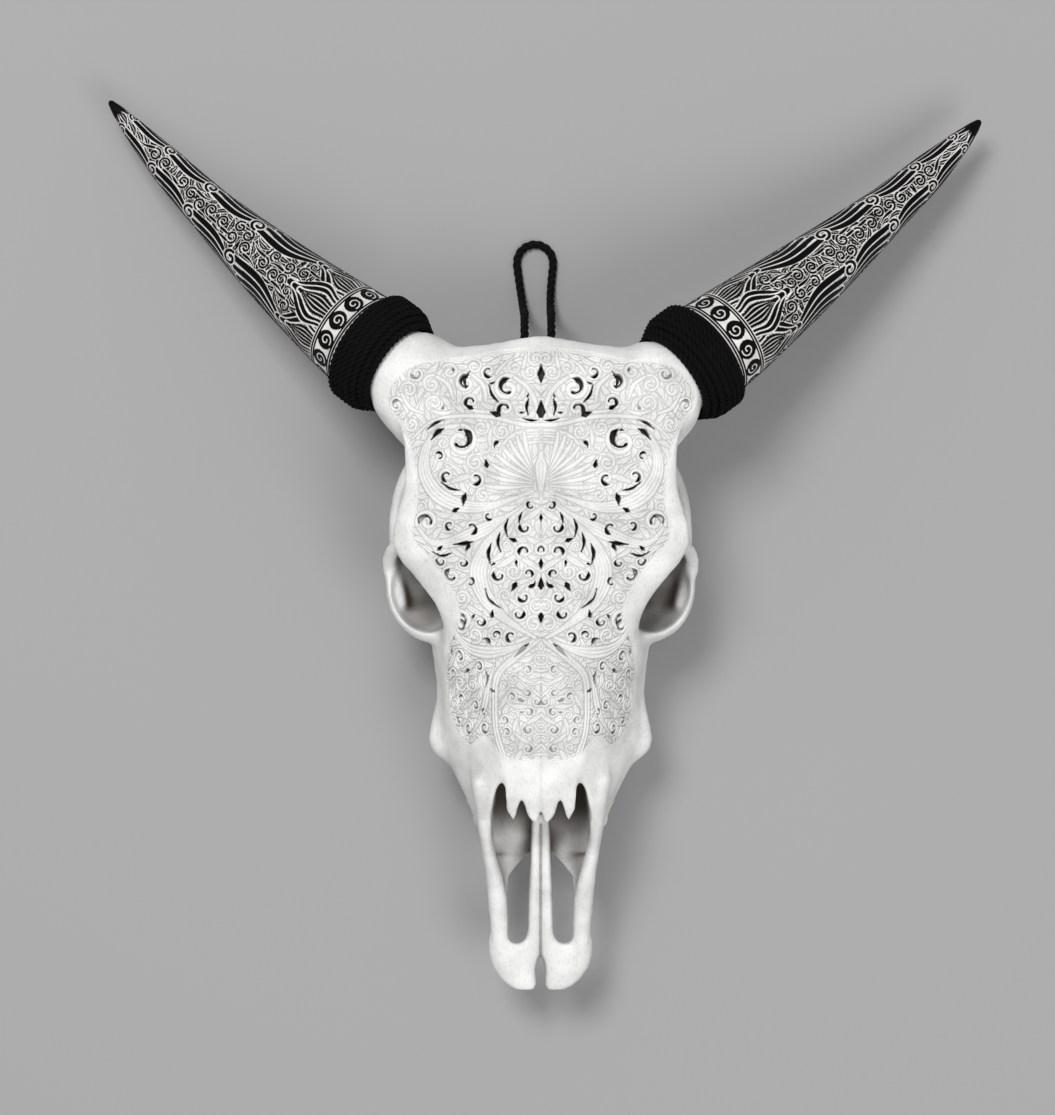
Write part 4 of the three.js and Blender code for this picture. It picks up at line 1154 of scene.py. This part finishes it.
# Bold feathers that sweep in from both sides, tier by tier, with a scroll at the end of each bunch
along, size = CROWN_FROM + 26, 1.0
for _ in range(FEATHER_TIERS):
    length, half = FEATHER_LENGTH * size, FEATHER_HALF * size
    engraving.cut_width = max(BOLD_CUT * size, NARROWEST_BOLD_CUT)
    pitch = 2 * half + engraving.cut_width
    for side in (1, -1):
        curl = beside_top(along + length + 1.5 * size, 0.3 * side)
        volute(engraving, curl, -side * 10, CURL_RADIUS * size, side, False)
        for n in range(FEATHERS):
            feather = rounded_line([
                beside_top(along, 0.7 * side, 0.5 * n * pitch),
                beside_top(along + 0.5 * length, 0.34 * side, 0.85 * n * pitch),
                beside_top(along + length - 5 * n * size, 0.36 * side, n * pitch),
            ])
            engraving.strand(feather, swell(len(feather), 0.3 * half, half, 0.8 * half, 0.75))
    along += TIER_STEP * size
    size *= TIER_SHRINK
# Fine scrolls and leaves between the feathers
engraving.cut_width = FINE_CUT
horn_room = np.full(engraving.shape, ECHO_REACH)
strokes_on_horn = fill_gaps(
    engraving, horn_room, largest=5.5, smallest=2.0, volutes_from=4.6, pierced=False)
print("small strokes on a horn:", strokes_on_horn)
# The band of discs between its double rings
column_along = np.arange(engraving.shape[1]) * CELL + engraving.low[0]
engraving.line[:, column_along < CROWN_FROM] = 0
engraving.line[:, (column_along > BAND[0]) & (column_along < BAND[1])] = 1
t = np.linspace(0, 1, 60)
spiral = (DISC_RADIUS * (0.7 - 0.55 * t))[:, None] * circle_points(np.radians(200 - 420 * t))
for n in range(-DISCS_EACH_SIDE, DISCS_EACH_SIDE + 1):
    centre = np.array((BAND_MIDDLE, n * DISC_STEP))
    disc = np.stack((np.full(3, centre[0]), centre[1] + np.array((-0.1, 0, 0.1))), 1)
    window, away, _, _ = engraving.near(disc, DISC_RADIUS + 1)
    engraving.line[window][away < DISC_RADIUS] = 0
    engraving.score(centre + spiral, SPIRAL_HALF)
for along in RINGS:
    engraving.score(ring_at(ROPE_WIDTH + along), RING_HALF)

# %% Build the horns
PLAIN_TIP = 9
ENGRAVED_MM, UNCUT_RADIUS, LEAST_RADIUS = 0.45, (1, 6), 0.4
HORN_COLUMNS, TOP_COLUMNS = 236, 0.62
UNDER_ROPE = 5


def crowded_on_top(share):
    """Angles of a horn's columns, closer together on its upper side."""
    return math.pi * (TOP_COLUMNS * share + (1 - TOP_COLUMNS) * share ** 3)


def horn_piece(side):
    """One horn from under the rope to its tip, with the engraving cut into it."""
    line, radius, along = horn_line(side, HORN_ROW)
    keep = along > ROPE_WIDTH - UNDER_ROPE
    line, radius, along = line[keep], radius[keep], along[keep]

    def cut_at(row, turn):
        """Share of a full cut at points of the horn's grid."""
        folded = np.where(np.abs(turn) > math.pi / 2, np.sign(turn) * math.pi - turn, turn)
        cut = engraving.sample(engraving.line, along[row], folded * radius[row])
        return cut * smooth(0, PLAIN_TIP, along[-1] - PLAIN_TIP - along[row])

    def radius_of(row, turn):
        """Radius of the horn at points of its grid, less what is cut away."""
        cut = ENGRAVED_MM * cut_at(row, turn) * smooth(*UNCUT_RADIUS, radius[row])
        return np.maximum(radius[row] - cut, LEAST_RADIUS)

    bm = bmesh.new()
    layer = bm.verts.layers.float.new("engraved")
    made, row, turn = tube(bm, line, radius_of, HORN_COLUMNS, crowded_on_top)
    for vert, value in zip(made, cut_at(row, turn)):
        vert[layer] = value
    close_tubes(bm)
    name = f"engraved_horn_{side}"
    piece(name, mesh_of(bm, name), horn, "horn", f"horn_{side}")


for side in HORNS:
    horn_piece(side)

# %% [markdown]
# ## Rope round the horn bases
# Black plant-fibre rope is wound tightly round each horn where it meets the skull. It is laid from
# three strands that turn round each other while the rope itself goes round the horn.

# %% Material: black plant-fibre rope
FIBRE_MM, FIBRE_BUMP_MM = 0.9, 0.5

rope, tree, shader = new_material("black_plant_fibre")
place = add_node(tree, "ShaderNodeTexCoord").outputs["Object"]
fibres = speckle(tree, place, FIBRE_MM, 4.0)
fibre_tint = mixed(tree, fibres, linear("#030303"), linear("#0E0D0C"))
fibre_bump = add_node(tree, "ShaderNodeBump", Height=fibres, Strength=0.6, Distance=FIBRE_BUMP_MM * MM)
tree.links.new(fibre_tint, shader.inputs["Base Color"])
tree.links.new(fibre_bump.outputs["Normal"], shader.inputs["Normal"])
shader.inputs["Roughness"].default_value = 0.85
shader.inputs["Specular IOR Level"].default_value = 0.12

# %% Wind the ropes
ROPE_DIAMETER, ROPE_TURNS = 6.2, 6
PEDICLE_RADIUS, HORN_SEAT = 31, 18
ROPE_LAY, STRANDS, STRAND_SIDES = 15, 3, 8
ROPE_OFFSET, ROPE_STRAND = 0.26 * ROPE_DIAMETER, 0.27 * ROPE_DIAMETER
ROPE_STEP, ONE_TURN = 1.6, 240


def strands_round(bm, line, offset, radius, lay):
    """Strands that turn round a line, one whole turn in each lay."""
    walked = lengths_along(line)
    up, level = line_frame(line)
    for n in range(STRANDS):
        turn = 2 * np.pi * (walked / lay + n / STRANDS)
        strand = line + offset * round_line(turn, up, level)
        tube(bm, strand, lambda row, _: np.full(len(row), radius), STRAND_SIDES)


def rope_piece(side):
    """The rope wound round one horn's base."""
    line, _, along = horn_line(side, 0.5)
    up, level = line_frame(line)
    turns = np.linspace(-0.5, ROPE_TURNS + 0.5, int(ROPE_TURNS * ONE_TURN / ROPE_STEP))
    at = 0.5 * ROPE_DIAMETER + np.clip(turns / ROPE_TURNS, 0, 1) * (ROPE_WIDTH - ROPE_DIAMETER)
    under = PEDICLE_RADIUS + (HORN_RADIUS[0][1] - PEDICLE_RADIUS) * smooth(0, HORN_SEAT, at)
    reach = under + 0.5 * ROPE_DIAMETER
    out = round_line(2 * np.pi * turns, along_line(at, along, up), along_line(at, along, level))
    bm = bmesh.new()
    strands_round(bm, along_line(at, along, line) + reach[:, None] * out, ROPE_OFFSET, ROPE_STRAND, ROPE_LAY)
    close_tubes(bm)
    name = f"wound_rope_{side}"
    piece(name, mesh_of(bm, name), rope, "rope", f"horn_rope_{side}")


for side in HORNS:
    rope_piece(side)

# %% [markdown]
# ## Hanging cord
# A loop of black cord comes out of the back of the skull, hangs down behind it, lies on the floor as a
# slack loop and goes back up and in. It is laid from three thick strands.

# %% Lay the cord
CORD_DIAMETER = 6.5
CORD_LAY = 17
CORD_OFFSET, CORD_STRAND = 0.25 * CORD_DIAMETER, 0.26 * CORD_DIAMETER
CORD_ROUTE = [
    (8, 468, 98), (8, 481, 98), (8, 492.5, 97), (8, 503.5, 91), (8, 510, 80), (8, 512, 65),
    (8, 512.5, 48), (8, 514, 33), (8, 518.5, 19), (8, 527.5, 8), (8.5, 538, 3.8), (9.4, 548, 3.4),
    (10, 556, 3.4), (8.1, 563, 3.4), (3, 568.1, 3.4), (-4, 570, 3.4), (-11, 568.1, 3.4),
    (-16.1, 563, 3.4), (-18, 556, 3.4), (-17.2, 548, 3.4), (-15.8, 538, 3.8), (-14.2, 527.5, 8),
    (-13, 518.5, 19), (-12.4, 514, 33), (-12.2, 512.5, 48), (-12, 512, 65), (-12, 510, 80),
    (-12, 503.5, 91), (-12, 492.5, 97), (-12, 481, 98), (-12, 468, 98),
]
cord_black, _, shader = new_material("braided_black_cord")
shader.inputs["Base Color"].default_value = linear("#0A0909")
shader.inputs["Roughness"].default_value = 0.75
shader.inputs["Specular IOR Level"].default_value = 0.15

cord_line = rounded_line(CORD_ROUTE, spacing=1.2)
bm = bmesh.new()
strands_round(bm, cord_line, CORD_OFFSET, CORD_STRAND, CORD_LAY)
close_tubes(bm)
cord = piece("hanging_loop", mesh_of(bm, "hanging_loop"), cord_black, "cord", "hanging_cord")
